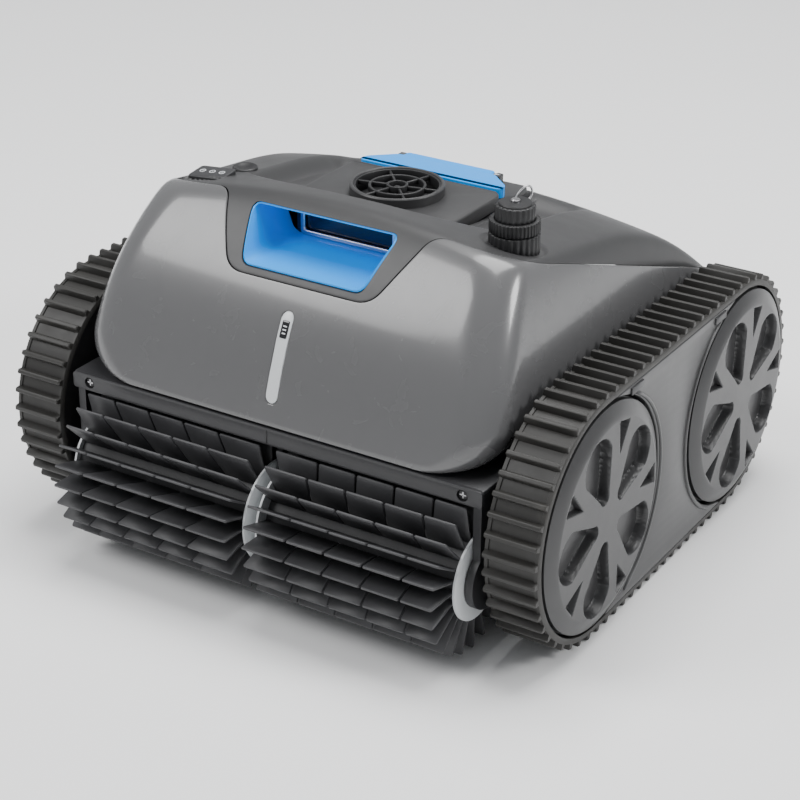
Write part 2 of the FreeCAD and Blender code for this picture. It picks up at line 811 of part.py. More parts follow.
def make_wheel(name, base, driven):
    """Drum that carries the belt: rim, web and hub, with its own drive shaft when driven."""
    start = "track_inner + wheel_margin"
    seat = "track_outer + cap_proud - cap_thickness"
    span = f"{seat} - ({start})"
    rim = cut(name + "_rim", rod(name + "_drum", "X", (start, base, "axle_height"), span, "rim_radius"),
              rod(name + "_hollow", "X", (f"{start} - overcut", base, "axle_height"),
                  f"{span} + 2 * overcut",
                  "rim_radius - rim_thickness"))
    webs = [rod(f"{name}_web_{number}", "X", (face, base, "axle_height"), "web_thickness",
                "rim_radius - rim_thickness / 2")
            for number, face in enumerate((start, f"{seat} - web_thickness"))]
    hub = rod(name + "_hub", "X", (start, base, "axle_height"), span, "hub_radius")
    if driven:
        shaft = rod(name + "_shaft", "X", ("tub_half - gearbox_length", base, "axle_height"),
                    f"{start} - tub_half + gearbox_length + hub_radius", "shaft_radius")
        return fuse(name, rim, *webs, hub, shaft)
    bore = rod(name + "_bore", "X", (f"{start} - overcut", base, "axle_height"), f"{span} - web_thickness",
               "shaft_bore")
    return cut(name, fuse(name + "_solid", rim, *webs, hub), bore)


def make_running_gear():
    """Right-hand track, wheels and caps, each with its mirrored twin on the left."""
    belt, cover = make_track()
    pieces = [belt, cover,
              make_wheel("right_front_wheel", "-half_base", False),
              make_wheel("right_rear_wheel", "half_base", True),
              make_hub_cap("right_front_cap", "-half_base"),
              make_hub_cap("right_rear_cap", "half_base")]
    return pieces + [mirror(piece.Name.replace("right", "left"), piece) for piece in pieces]


def make_chassis():
    """Sealed tub with its floor, idler axles, bumper, seal and intake plate."""
    shell = box("tub_block", ("-tub_half", "tub_front", "tub_floor"), ("tub_half", "tub_back", "tub_top"))
    hollow = box("tub_hollow", ("-(tub_half - tub_wall)", "tub_front + tub_wall", "tub_floor_top"),
                 ("tub_half - tub_wall", "tub_back - tub_wall", "tub_top - tub_wall"))
    mouth = box("tub_mouth", ("-(shell_half - foot_radius)", "tub_front + 2 * tub_wall", "tub_floor_top"),
                ("shell_half - foot_radius", "tub_back - 2 * tub_wall", "2 * tub_top"))
    slot = box("tub_slot", ("-slot_half", "slot_front", "0"), ("slot_half", "slot_back",
                                                               "tub_floor_top + overcut"))
    bores = [rod(f"shaft_bore_{side}", "X", (f"{side} * tub_half - tub_wall - overcut", "half_base",
                                             "axle_height"),
                 "2 * tub_wall + 2 * overcut", "shaft_bore") for side in ("-1", "1")]
    tub = cut("chassis_tub", shell, hollow, mouth, slot, *bores)
    axles = []
    for side, face in (("right", "tub_half"), ("left", "-tub_half - belt_gap")):
        axles.append(rod(side + "_axle_flange", "X", (face, "-half_base", "axle_height"), "belt_gap",
                         "hub_radius"))
    axles.append(rod("right_axle_rod", "X", ("tub_half", "-half_base", "axle_height"),
                     "track_outer - tub_half - cap_thickness - web_thickness", "shaft_radius"))
    axles.append(rod("left_axle_rod", "X",
                     ("-(track_outer - cap_thickness - web_thickness)", "-half_base", "axle_height"),
                     "track_outer - tub_half - cap_thickness - web_thickness", "shaft_radius"))
    idlers = group("idler_axles", fuse("right_idler", axles[0], axles[2]),
                   fuse("left_idler", axles[1], axles[3]))
    seal_outer = box("seal_outer",
                     ("-(shell_half - foot_radius + seal_width)", "tub_front + tub_wall", "tub_top"),
                     ("shell_half - foot_radius + seal_width", "tub_back - tub_wall", "shell_bottom"))
    seal_inner = box("seal_inner", ("-(shell_half - foot_radius)", "tub_front + tub_wall + seal_width",
                                    "tub_top - overcut"),
                     ("shell_half - foot_radius", "tub_back - tub_wall - seal_width",
                      "shell_bottom + overcut"))
    seal = cut("shell_seal", seal_outer, seal_inner)
    strip = box("bumper_strip", ("-bumper_half", "bumper_front", "bumper_top - bumper_height"),
                ("bumper_half", "bumper_front + bumper_thickness", "bumper_top"))
    shelf = box("bumper_shelf", ("-bumper_half", "bumper_front", "bumper_top - bumper_thickness"),
                ("bumper_half", "tub_front", "bumper_top"))
    level = "bumper_top - bumper_height / 2"
    holes = [rod(f"bumper_hole_{number}", "Y", (f"{side} * screw_x", "bumper_front - overcut", level),
                 "bumper_thickness + 2 * overcut", "screw_radius") for number, side in enumerate((-1, 1))]
    bumper = cut("front_bumper", fuse("bumper_solid", strip, shelf), *holes)
    screws = group("bumper_screws", *[rod(f"bumper_screw_{number}", "Y",
                                          (f"{side} * screw_x", "bumper_front + screw_sink", level),
                                          "bumper_thickness - screw_sink", "screw_radius")
                                      for number, side in enumerate((-1, 1))])
    plate_block = box("plate_block", ("-plate_half", "tub_front", "tub_floor - plate_thickness"),
                      ("plate_half", "tub_back", "tub_floor"))
    plate_slot = box("plate_slot", ("-slot_half", "slot_front", "0"), ("slot_half", "slot_back",
                                                                       "tub_floor + overcut"))
    plate = cut("intake_plate", plate_block, plate_slot)
    return [tub, idlers, seal, bumper, screws, plate]


def make_flap():
    """Inlet flap that lies over the floor slot, with its hinge pin and lugs."""
    hinge_z = "tub_floor_top + flap_knuckle + flap_lift"
    hinge_y = "slot_back + flap_knuckle"
    leaf_low = "tub_floor_top + flap_lift"
    leaf = box("flap_leaf", ("-(slot_half + flap_overlap)", "slot_front - flap_overlap", leaf_low),
               ("slot_half + flap_overlap", hinge_y, f"{leaf_low} + flap_thickness"))
    knuckle = rod("flap_knuckle_rod", "X", ("-slot_half", hinge_y, hinge_z), "2 * slot_half",
                  "flap_knuckle")
    bore = rod("flap_bore", "X", ("-slot_half - flap_overlap - overcut", hinge_y, hinge_z),
               "2 * (slot_half + flap_overlap + overcut)",
               "flap_pin + flap_pin_play")
    flap = cut("intake_flap", fuse("flap_solid", leaf, knuckle), bore)
    lug_near = "slot_half + flap_overlap + flap_lug_gap"
    pin_half = f"({lug_near} + flap_lug / 2)"
    pin = rod("flap_pin_rod", "X", (f"-{pin_half}", hinge_y, hinge_z), f"2 * {pin_half}", "flap_pin")
    lugs = [box(f"flap_lug_{number}", (low, f"{hinge_y} - flap_knuckle", "tub_floor_top"),
                (high, f"{hinge_y} + flap_knuckle", f"{hinge_z} + flap_knuckle"))
            for number, (low, high) in enumerate((
                (f"-({lug_near}) - flap_lug", f"-({lug_near})"), (lug_near, f"{lug_near} + flap_lug")))]
    return [flap, fuse("flap_hinge_pin", pin, *lugs)]


def make_brush():
    """Right half of the roller brush, its end discs and the arms that carry it."""
    axis = ("brush_y", "brush_height")
    span = "brush_outer - brush_inner"
    body = DOC.addObject("PartDesign::Body", "right_brush_blades")
    planes = {item.Role: item for item in body.Origin.OriginFeatures}
    ring = body.newObject("Sketcher::SketchObject", "sleeve_outline")
    ring.AttachmentSupport = [(planes["YZ_Plane"], "")]
    ring.MapMode = "FlatFace"
    for number, radius in enumerate(("sleeve_radius", "core_radius")):
        ring.addGeometry(Part.Circle(vector(0, 0, 0), vector(0, 0, 1), value(radius)))
        ring.addConstraint(Sketcher.Constraint("Coincident", number, 3, -1, 1))
        index = ring.addConstraint(Sketcher.Constraint("Radius", number, value(radius)))
        ring.setExpression(f"Constraints[{index}]", expand(radius))
    sleeve = body.newObject("PartDesign::Pad", "sleeve")
    sleeve.Profile = ring
    bind(sleeve, {"Length": span})
    DOC.recompute()
    blade = body.newObject("PartDesign::AdditiveBox", "blade_row")
    bind(blade, {"Length": span, "Width": "blade_radius - sleeve_radius + overcut",
                 "Height": "blade_thickness"})
    blade.AttachmentSupport = [(planes["XY_Plane"], "")]
    blade.MapMode = "FlatFace"
    bind(blade, {"AttachmentOffset.Base.y": "sleeve_radius - overcut",
                 "AttachmentOffset.Base.z": "-blade_thickness / 2"})
    DOC.recompute()
    rows = body.newObject("PartDesign::PolarPattern", "blade_rows")
    rows.Originals = [blade]
    rows.Axis = (planes["X_Axis"], [""])
    rows.Angle = 360
    bind(rows, {"Occurrences": "blade_count"})
    body.Tip = rows
    DOC.recompute()
    slits = body.newObject("Sketcher::SketchObject", "slit_outline")
    slits.AttachmentSupport = [(planes["XY_Plane"], "")]
    slits.MapMode = "FlatFace"
    gaps = int(value("blade_gaps"))
    length = value("brush_outer") - value("brush_inner")
    half_gap = value("blade_gap") / 2
    low = value("sleeve_radius")
    high = 2 * value("blade_radius")
    for number in range(gaps):
        middle = length * (number + 1) / (gaps + 1)
        left, right_edge = middle - half_gap, middle + half_gap
        corners = [vector(x, y, 0) for x, y in ((left, low), (right_edge, low), (right_edge, high), (left,
                                                                                                     high))]
        for first in range(4):
            sketch_line = Part.LineSegment(corners[first], corners[(first + 1) % 4])
            slits.addGeometry(sketch_line)
        for first in range(4):
            slits.addConstraint(Sketcher.Constraint("Coincident", 4 * number + first, 2,
                                                    4 * number + (first + 1) % 4, 1))
    groove = body.newObject("PartDesign::Groove", "blade_slits")
    groove.Profile = slits
    groove.ReferenceAxis = (planes["X_Axis"], [""])
    groove.Angle = 360
    place(body, ("brush_inner", *axis))

    core = cut("right_brush_core", rod("core_rod", "X", ("brush_inner", *axis), span, "core_radius"),
               rod("core_hollow", "X", ("brush_inner + pin_reach + core_wall / 2", *axis),
                   f"{span} - 2 * pin_reach - core_wall",
                   "core_radius - core_wall"),
               rod("core_bore", "X", ("0", *axis), "2 * brush_outer", "pin_radius + shaft_play"))
    discs = group("right_brush_discs", *[
        cut(f"disc_{number}",
            rod(f"disc_blank_{number}", "X", (start, *axis), "disc_thickness", "disc_radius"),
            rod(f"disc_hole_{number}", "X", (f"{start} - overcut", *axis), "disc_thickness + 2 * overcut",
                "pin_radius + shaft_play"))
        for number, start in enumerate(("brush_outer", "brush_inner - disc_thickness"))])
    right = [body, core, discs]
    arm_front = box("arm_front", ("arm_inner", "bumper_front + bumper_thickness", "brush_height"),
                    ("arm_inner + arm_thickness", "tub_front", "bumper_top - bumper_thickness"))
    lobe = rod("arm_lobe_rod", "X", ("arm_inner", *axis), "arm_thickness", "arm_lobe")
    lower = box("arm_lower", ("arm_inner", "brush_y", "brush_height - arm_lobe"),
                ("arm_inner + arm_thickness", "tub_front", "brush_height + overcut"))
    pin = rod("arm_pin", "X", ("brush_outer - pin_reach", *axis),
              "arm_inner - brush_outer + pin_reach + overcut",
              "pin_radius")
    arm = fuse("right_brush_arm", arm_front, lobe, lower, pin)
    centre_plate = box("centre_plate", ("-centre_arm_half", "brush_y", "brush_height - arm_lobe / 2"),
                       ("centre_arm_half", "tub_front", "bumper_top - bumper_thickness"))
    centre_lobe = rod("centre_lobe", "X", ("-centre_arm_half", *axis), "2 * centre_arm_half",
                      "arm_lobe / 2")
    centre_pin = rod("centre_pin", "X", ("-(brush_inner + pin_reach)", *axis),
                     "2 * (brush_inner + pin_reach)", "pin_radius")
    centre = fuse("brush_centre_arm", centre_plate, centre_lobe, centre_pin)
    moving = right + [mirror(piece.Name.replace("right", "left"), piece) for piece in right]
    return moving + [arm, mirror("left_brush_arm", arm), centre]


def make_pump():
    """Pump motor with its propeller inside the upright outlet duct."""
    centre = ("0", "outlet_back")
    can = rod("pump_can", "Z", (*centre, "tub_floor_top"), "pump_height", "pump_radius")
    shaft = rod("pump_shaft", "Z", (*centre, "tub_floor_top"), "prop_low + prop_height - tub_floor_top",
                "prop_shaft")
    pump = fuse("pump_motor", can, shaft)
    tube = cut("duct_tube", rod("duct_outer", "Z", (*centre, "duct_bottom"),
                                "cover_low - duct_gap - duct_bottom", "duct_radius"),
               rod("duct_inner", "Z", (*centre, "duct_bottom - overcut"), "body_height",
                   "duct_radius - duct_wall"))
    low = "duct_bottom - rib_drop"
    high = "duct_bottom + overcut"
    rib = "duct_wall"
    near = "(pump_radius - rib_sink)"
    far = "(duct_radius - duct_wall / 2)"
    spans = (((near, f"outlet_back - {rib}"), (far, f"outlet_back + {rib}")),
             ((f"-{far}", f"outlet_back - {rib}"), (f"-{near}", f"outlet_back + {rib}")),
             ((f"-{rib}", f"outlet_back + {near}"), (rib, f"outlet_back + {far}")),
             ((f"-{rib}", f"outlet_back - {far}"), (rib, f"outlet_back - {near}")))
    ribs = [box(f"duct_rib_{number}", (*first, low), (*last, high)) for number, (first,
                                                                                 last) in enumerate(spans)]
    duct = cut("outlet_duct", fuse("duct_solid", tube, *ribs),
               rod("duct_clear", "Z", (*centre, "tub_floor"), "duct_bottom - tub_floor",
                   "pump_radius"))
    count = int(value("prop_blades"))
    middle = vector(0, value("outlet_back"), value("prop_low") + value("prop_height") / 2)
    blades = []
    for number in range(count):
        blade = Part.makeBox(value("prop_radius"), value("prop_chord"), value("prop_blade_thickness"))
        blade.translate(vector(0, -value("prop_chord") / 2, -value("prop_blade_thickness") / 2))
        blade.rotate(vector(0, 0, 0), vector(1, 0, 0), value("prop_pitch"))
        blade.rotate(vector(0, 0, 0), vector(0, 0, 1), number * 360 / count)
        blade.translate(middle)
        blades.append(blade)
    fan = feature("prop_fan", blades[0].multiFuse(blades[1:]))
    envelope = rod("prop_envelope", "Z", (*centre, "prop_low"), "prop_height", "prop_radius")
    hub = rod("prop_hub_rod", "Z", (*centre, "prop_low"), "prop_height", "prop_hub")
    bore = rod("prop_bore", "Z", (*centre, "prop_low - overcut"), "prop_height + 2 * overcut",
               "prop_shaft + shaft_play")
    propeller = cut("propeller", fuse("prop_solid", common("prop_trim", fan, envelope), hub), bore)
    return [pump, duct, propeller]


def make_filter():
    """Lift-out filter: cover with the outlet grille, and the basket round the duct."""
    centre = ("0", "outlet_back")
    front_plate = box("cover_front_plate", ("-basket_half", "basket_front", "cover_low"),
                      ("basket_half", "recess_front", "filter_cover_top"))
    step = box("cover_step", ("-basket_half", "recess_front - cover_plate", "recess_top - cover_plate"),
               ("basket_half", "recess_front", "filter_cover_top"))
    back_plate = box("cover_back_plate",
                     ("-basket_half", "recess_front - cover_plate", "recess_top - cover_plate"),
                     ("basket_half", "basket_back", "recess_top"))
    lugs = [box(f"handle_lug_{number}", (low, "handle_pin_y - handle_thickness / 2",
                                         "recess_top - overcut"),
                (high, "handle_pin_y + handle_thickness / 2", "handle_axis + handle_thickness / 2"))
            for number, (low, high) in enumerate((
                ("handle_back_half + lug_play", "handle_back_half + lug_play + handle_lug"),
                ("-handle_back_half - lug_play - handle_lug", "-handle_back_half - lug_play")))]
    pin = rod("handle_pin", "X", ("-handle_back_half - handle_lug", "handle_pin_y", "handle_axis"),
              "2 * (handle_back_half + handle_lug)", "handle_pin_radius")
    cover = cut("filter_cover", fuse("cover_solid", front_plate, step, back_plate, *lugs, pin),
                rod("grille_seat", "Z", (*centre, "recess_top"), "body_height", "grille_radius"))
    base = "cover_low"

    def ring(name, radius, height):
        return cut(name, rod(name + "_outer", "Z", (*centre, base), height, radius),
                   rod(name + "_inner", "Z", (*centre, f"{base} - overcut"), "body_height",
                       f"{radius} - grille_bar"))

    rim = cut("grille_rim_ring",
              rod("grille_rim_outer", "Z", (*centre, base), "cover_plate + grille_proud", "grille_radius"),
              rod("grille_rim_inner", "Z", (*centre, f"{base} - overcut"), "body_height",
                  "grille_radius - grille_rim"))
    spokes = []
    count = int(value("spoke_count"))
    for number in range(count // 2):
        spoke = DOC.addObject("Part::Box", f"grille_spoke_{number}")
        bind(spoke, {"Length": "2 * grille_radius - grille_rim", "Width": "grille_bar",
                     "Height": "grille_bar"})
        turn = math.pi * number / (count // 2)
        across = f"(grille_radius - grille_rim / 2) * {math.cos(turn):.6f}"
        along = f"(grille_radius - grille_rim / 2) * {math.sin(turn):.6f}"
        side = f"grille_bar / 2 * {math.sin(turn):.6f}"
        back = f"grille_bar / 2 * {math.cos(turn):.6f}"
        spoke.Placement.Rotation = FreeCAD.Rotation(vector(0, 0, 1), math.degrees(turn))
        place(spoke, (f"-({across}) + {side}", f"outlet_back - ({along}) - {back}", f"{base} + overcut"))
        spokes.append(spoke)
    grille = fuse("outlet_grille", rim, ring("grille_middle", "grille_ring", "cover_plate"),
                  ring("grille_centre", "grille_hub", "cover_plate + grille_proud / 2"), *spokes)
    top = "recess_top - cover_plate"
    floor_top = "basket_floor + basket_wall"
    sleeve_radius = "duct_radius + duct_gap + basket_wall"
    base_plate = cut("basket_base", box("basket_base_block", ("-basket_half", "basket_front",
                                                              "basket_floor"),
                                        ("basket_half", "basket_back", floor_top)),
                     rod("basket_base_hole", "Z", (*centre, "basket_floor - overcut"),
                         "basket_wall + 2 * overcut", sleeve_radius))
    block = box("basket_block", ("-basket_half", "basket_front", floor_top), ("basket_half", "basket_back",
                                                                              top))
    inside = box("basket_inside", ("-(basket_half - basket_wall)", "basket_front + basket_wall",
                                   "basket_floor"),
                 ("basket_half - basket_wall", "basket_back - basket_wall", "body_height"))
    windows = [box(f"basket_window_{number}", ("-basket_half - overcut", low,
                                               "basket_floor + basket_window_margin"),
                   ("basket_half + overcut", f"{low} + basket_window_width",
                    f"{top} - basket_window_margin"))
               for number, low in enumerate(("basket_front + basket_window_setback",
                                             "basket_back - basket_window_setback - basket_window_width"))]
    sleeve_rod = rod("basket_sleeve_rod", "Z", (*centre, "basket_floor"), f"{top} - basket_floor",
                     sleeve_radius)
    walls = cut("filter_basket", block, inside, sleeve_rod, *windows)
    sleeve = cut("basket_sleeve", sleeve_rod,
                 rod("basket_throat", "Z", (*centre, "basket_floor - overcut"), "body_height",
                     "duct_radius + duct_gap"))
    return [cover, grille, base_plate, walls, sleeve]


def make_handle():
    """Blue lifting handle that folds up about a pin at its back edge."""
    low = value("handle_low")
    half = value("handle_half")
    back_half = value("handle_back_half")
    outline = [vector(x, y, low) for x, y in
               ((-half, value("handle_front")), (half, value("handle_front")), (half, value("handle_side")),
                (back_half, value("handle_pin_y")), (-back_half, value("handle_pin_y")),
                (-half, value("handle_side")))]
    grip = feature("handle_grip", prism(outline, vector(0, 0, value("handle_thickness"))))
    knuckle = rod("handle_knuckle", "X", ("-handle_back_half", "handle_pin_y", "handle_axis"),
                  "2 * handle_back_half", "handle_thickness / 2")
    bore = rod("handle_bore", "X", ("-handle_half", "handle_pin_y", "handle_axis"), "2 * handle_half",
               "handle_pin_radius + handle_pin_play")
    swing = "handle_thickness * 3 / 4"
    notches = [box(f"handle_notch_{number}", (low_x, f"handle_pin_y - {swing}", "handle_low - overcut"),
                   (high_x, "handle_pin_y + handle_thickness", "handle_low + handle_thickness + overcut"))
               for number, (low_x, high_x) in enumerate((("handle_back_half", "handle_half"),
                                                         ("-handle_half", "-handle_back_half")))]
    return [cut("filter_handle", fuse("handle_solid", grip, knuckle), bore, *notches)]


def make_controls():
    """Mode panel and power button on the left wing of the deck."""
    column = box("panel_column",
                 ("panel_x - panel_length / 2", "panel_y - panel_width / 2", "body_height - tab_drop"),
                 ("panel_x + panel_length / 2", "panel_y + panel_width / 2", "2 * body_height"))
    raised = feature("panel_form", shell_form(-value("panel_rise")))
    level = feature("deck_form", shell_form(0))
    panel = cut("mode_panel", common("panel_block", column, raised), level)
    button = rod("power_button", "Z", ("button_x", "button_y", "button_top - button_height"),
                 "button_height",
                 "button_radius")
    return [panel, button]


def knurled_outline(radius, teeth, depth, height):
    """Level polygon with one point per tooth and one per hollow."""
    points = []
    for number in range(2 * teeth):
        reach = radius - (number % 2) * depth
        angle = math.pi * number / teeth
        points.append(vector(value("port_x") + reach * math.cos(angle),
                             value("port_y") + reach * math.sin(angle), height))
    return points


def make_port():
    """Charging port with its pins, plug cap, knurled ring and tether."""
    centre = ("port_x", "port_y")
    collar = cut("charge_port", rod("port_collar", "Z", (*centre, "port_top - port_depth"), "port_depth",
                                    "port_radius"),
                 rod("port_socket", "Z", (*centre, "port_top - port_depth + port_floor"), "port_depth",
                     "port_bore"))
    floor = "port_top - port_depth + port_floor"
    pins = group("port_pins", *[rod(f"port_pin_{number}", "Z",
                                    (f"port_x + {side} * pin_spread", "port_y", floor),
                                    "pin_length", "prop_shaft / 3") for number, side in enumerate((-1, 0,
                                                                                                   1))])
    plug = rod("cap_plug", "Z", (*centre, "port_top - plug_depth"), "plug_depth + cap_gap + overcut",
               "cap_plug_radius")
    body = rod("cap_body", "Z", (*centre, "ring_low"), "cap_top - ring_low", "cap_body_radius")
    boss = rod("cap_boss_rod", "Z", (*centre, "cap_top - overcut"), "1 + cap_boss", "cap_boss")
    cap = fuse("port_cap", plug, body, boss)
    outline = knurled_outline(value("ring_radius"), int(value("ring_teeth")), value("ring_tooth"),
                              value("ring_low"))
    blank = feature("ring_blank", prism(outline, vector(0, 0, value("ring_height"))))
    ring = cut("port_ring", blank, rod("ring_hole", "Z", (*centre, "port_top - overcut"), "body_height",
                                       "cap_body_radius + cap_gap"))
    tether = DOC.addObject("Part::Torus", "cap_tether")
    tether.Placement.Rotation = TURNS["X"]
    bind(tether, {"Radius1": "tether_loop", "Radius2": "tether_radius"})
    place(tether, ("port_x", "port_y + cap_boss + tether_loop", "cap_top + tether_loop / 2"))
    return [collar, pins, cap, ring, tether]


def make_drive():
    """Drive motors, battery and control board inside the tub."""
    gearbox_start = "tub_half - tub_wall - gearbox_length"
    gearbox = box("gearbox_block", (gearbox_start, "half_base - gearbox_half", "tub_floor_top"),
                  ("tub_half - tub_wall", "half_base + gearbox_half", "axle_height + gearbox_half"))
    can = rod("motor_can", "X", (f"{gearbox_start} - motor_length", "half_base", "axle_height"),
              "motor_length + overcut", "motor_radius")
    socket = rod("gearbox_socket", "X", (f"{gearbox_start} + tub_wall - overcut / 2", "half_base",
                                         "axle_height"),
                 "gearbox_length + 2 * overcut", "shaft_bore")
    motor = cut("right_drive_motor", fuse("motor_solid", gearbox, can), socket)
    battery = box("battery_pack", ("-battery_length / 2",
                                   "tub_back - tub_wall - battery_gap - battery_width",
                                   "tub_floor_top"),
                  ("battery_length / 2", "tub_back - tub_wall - battery_gap",
                   "tub_floor_top + battery_height"))
    board_front = "(slot_back + board_setback)"
    board = box("control_board", ("-basket_half - board_width", board_front, "tub_floor_top"),
                ("-basket_half", f"{board_front} + board_length", "tub_floor_top + board_height"))
    return [motor, mirror("left_drive_motor", motor), battery, board]


def check(things):
    """Stop if any object failed or any piece has no valid solid."""
    for thing in DOC.Objects:
        if "Invalid" in thing.State or "Error" in thing.State:
            raise RuntimeError(f"{thing.Name} failed: {thing.State}")
    for thing in things:
        if thing.Shape.isNull() or not thing.Shape.isValid() or not thing.Shape.Solids:
            raise RuntimeError(f"{thing.Label} has no valid solid")


def main():
    """Build every piece, check it and write one STEP file for each."""
    fill_sheet()
    shell, deck_skin, light, display = make_shell()
    pieces = [shell, light, display, *make_deck(deck_skin)]
    for make in (make_running_gear, make_chassis, make_flap, make_brush, make_pump, make_filter,
                 make_handle, make_controls, make_port, make_drive):
        pieces.extend(make())
    DOC.recompute()
    check(pieces)
    os.makedirs("parts", exist_ok=True)
    for piece in pieces:
        piece.Shape.exportStep(f"parts/{piece.Label}.step")
    print(len(pieces), "pieces written")


main()
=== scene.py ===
"""Looks of a cordless tracked pool cleaner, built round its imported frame, in metres."""
import logging
import math
from dataclasses import dataclass
from enum import Enum
from typing import Callable, Sequence

import bmesh
import bpy
import numpy as np
from mathutils import Matrix, Vector


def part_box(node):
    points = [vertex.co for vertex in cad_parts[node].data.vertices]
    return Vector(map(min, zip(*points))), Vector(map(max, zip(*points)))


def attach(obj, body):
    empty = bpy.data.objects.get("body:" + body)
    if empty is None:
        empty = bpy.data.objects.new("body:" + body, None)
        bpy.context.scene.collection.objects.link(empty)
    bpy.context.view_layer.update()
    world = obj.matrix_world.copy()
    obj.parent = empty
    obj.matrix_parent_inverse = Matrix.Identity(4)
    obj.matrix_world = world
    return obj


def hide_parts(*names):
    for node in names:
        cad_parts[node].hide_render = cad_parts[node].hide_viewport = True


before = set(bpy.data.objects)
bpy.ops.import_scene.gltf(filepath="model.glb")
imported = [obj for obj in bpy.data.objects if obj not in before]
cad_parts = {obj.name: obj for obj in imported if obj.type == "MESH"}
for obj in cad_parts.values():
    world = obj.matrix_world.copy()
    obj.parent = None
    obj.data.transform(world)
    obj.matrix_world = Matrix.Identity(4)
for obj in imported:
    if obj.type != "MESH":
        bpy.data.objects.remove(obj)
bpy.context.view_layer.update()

LOG = logging.getLogger("pool_cleaner")
MM = 0.001
DECK_SETBACK = 80.0
Colour = tuple[float, float, float]
Array = np.ndarray


class Side(Enum):
    """The two sides of the machine, as seen by someone facing its front."""

    RIGHT = 1
    LEFT = -1

    @property
    def word(self) -> str:
        """Name of the side as the frame spells it."""
        return self.name.lower()


class End(Enum):
    """The two ends of a track."""

    FRONT = "front"
    REAR = "rear"


# ---------------------------------------------------------------- materials


def new_group(name: str, inputs: Sequence[tuple[str, str, object]],
              outputs: Sequence[tuple[str, str]]) -> bpy.types.NodeTree:
    """Start a shader node group with named sockets.

    Args:
        name: Name of the group.
        inputs: Socket name, socket type and default of each input.
        outputs: Socket name and socket type of each output.

    Returns:
        The group, holding its input and output nodes.
    """
    group = bpy.data.node_groups.new(name, "ShaderNodeTree")
    for label, kind, default in inputs:
        socket = group.interface.new_socket(label, in_out="INPUT", socket_type=kind)
        socket.default_value = default
    for label, kind in outputs:
        group.interface.new_socket(label, in_out="OUTPUT", socket_type=kind)
    group.nodes.new("NodeGroupInput")
    group.nodes.new("NodeGroupOutput")
    return group


def add_node(tree: bpy.types.NodeTree, kind: str, links: dict[object, object] | None = None,
             **settings: object) -> bpy.types.Node:
    """Add one node, set its properties and fill its inputs.

    Args:
        tree: Tree that gets the node.
        kind: Blender's type name of the node.
        links: Input name or number mapped to an output socket or a plain value.
        **settings: Properties of the node itself.

    Returns:
        The new node.
    """
    node = tree.nodes.new(kind)
    for key, setting in settings.items():
        setattr(node, key, setting)
    for key, source in (links or {}).items():
        socket = node.inputs[key]
        if isinstance(source, bpy.types.NodeSocket):
            tree.links.new(source, socket)
        else:
            socket.default_value = source
    return node


def moulded_group() -> bpy.types.NodeTree:
    """Build the effect shared by every moulded finish: grain, tone and handling marks.

    Returns:
        A group that puts out a colour, a roughness and a height.
    """
    group = new_group(
        "moulded_surface",
        [("Colour", "NodeSocketColor", (0.1, 0.1, 0.1, 1)),
         ("Marked Colour", "NodeSocketColor", (0.2, 0.2, 0.2, 1)),
         ("Roughness", "NodeSocketFloat", 0.4), ("Roughness Spread", "NodeSocketFloat", 0.1),
         ("Grain Scale", "NodeSocketFloat", 900.0), ("Grain Depth", "NodeSocketFloat", 0.2),
         ("Marks", "NodeSocketFloat", 0.2)],
        [("Colour", "NodeSocketColor"), ("Roughness", "NodeSocketFloat"), ("Height", "NodeSocketFloat")])
    given = group.nodes["Group Input"].outputs
    result = group.nodes["Group Output"].inputs
    place = add_node(group, "ShaderNodeTexCoord").outputs["Object"]
    grain = add_node(group, "ShaderNodeTexNoise", {"Vector": place, "Scale": given["Grain Scale"],
                                                   "Detail": 3.0})
    cloud = add_node(group, "ShaderNodeTexNoise", {"Vector": place, "Scale": 14.0, "Detail": 4.0})
    smear = add_node(group, "ShaderNodeTexNoise", {"Vector": place, "Scale": 55.0, "Detail": 6.0,
                                                   "Distortion": 0.8})
    tone = add_node(group, "ShaderNodeMapRange", {"Value": cloud.outputs["Fac"], "From Min": 0.35,
                                                  "From Max": 0.7,
                                                  "To Min": 0.0, "To Max": 1.0})
    marks = add_node(group, "ShaderNodeMapRange", {"Value": smear.outputs["Fac"], "From Min": 0.56,
                                                   "From Max": 0.74})
    amount = add_node(group, "ShaderNodeMath", {0: marks.outputs["Result"], 1: given["Marks"]},
                      operation="MULTIPLY")
    blend = add_node(group, "ShaderNodeMath", {0: tone.outputs["Result"], 1: amount.outputs[0]},
                     operation="MULTIPLY")
    colour = add_node(group, "ShaderNodeMix", {"Factor": blend.outputs[0], "A": given["Colour"],
                                               "B": given["Marked Colour"]}, data_type="RGBA")
    sway = add_node(group, "ShaderNodeMath", {0: smear.outputs["Fac"], 1: 0.5}, operation="SUBTRACT")
    rough = add_node(group, "ShaderNodeMath", {0: sway.outputs[0], 1: given["Roughness Spread"],
                                               2: given["Roughness"]}, operation="MULTIPLY_ADD")
    height = add_node(group, "ShaderNodeMath", {0: grain.outputs["Fac"], 1: given["Grain Depth"]},
                      operation="MULTIPLY")
    group.links.new(colour.outputs["Result"], result["Colour"])
    group.links.new(rough.outputs[0], result["Roughness"])
    group.links.new(height.outputs[0], result["Height"])
    return group


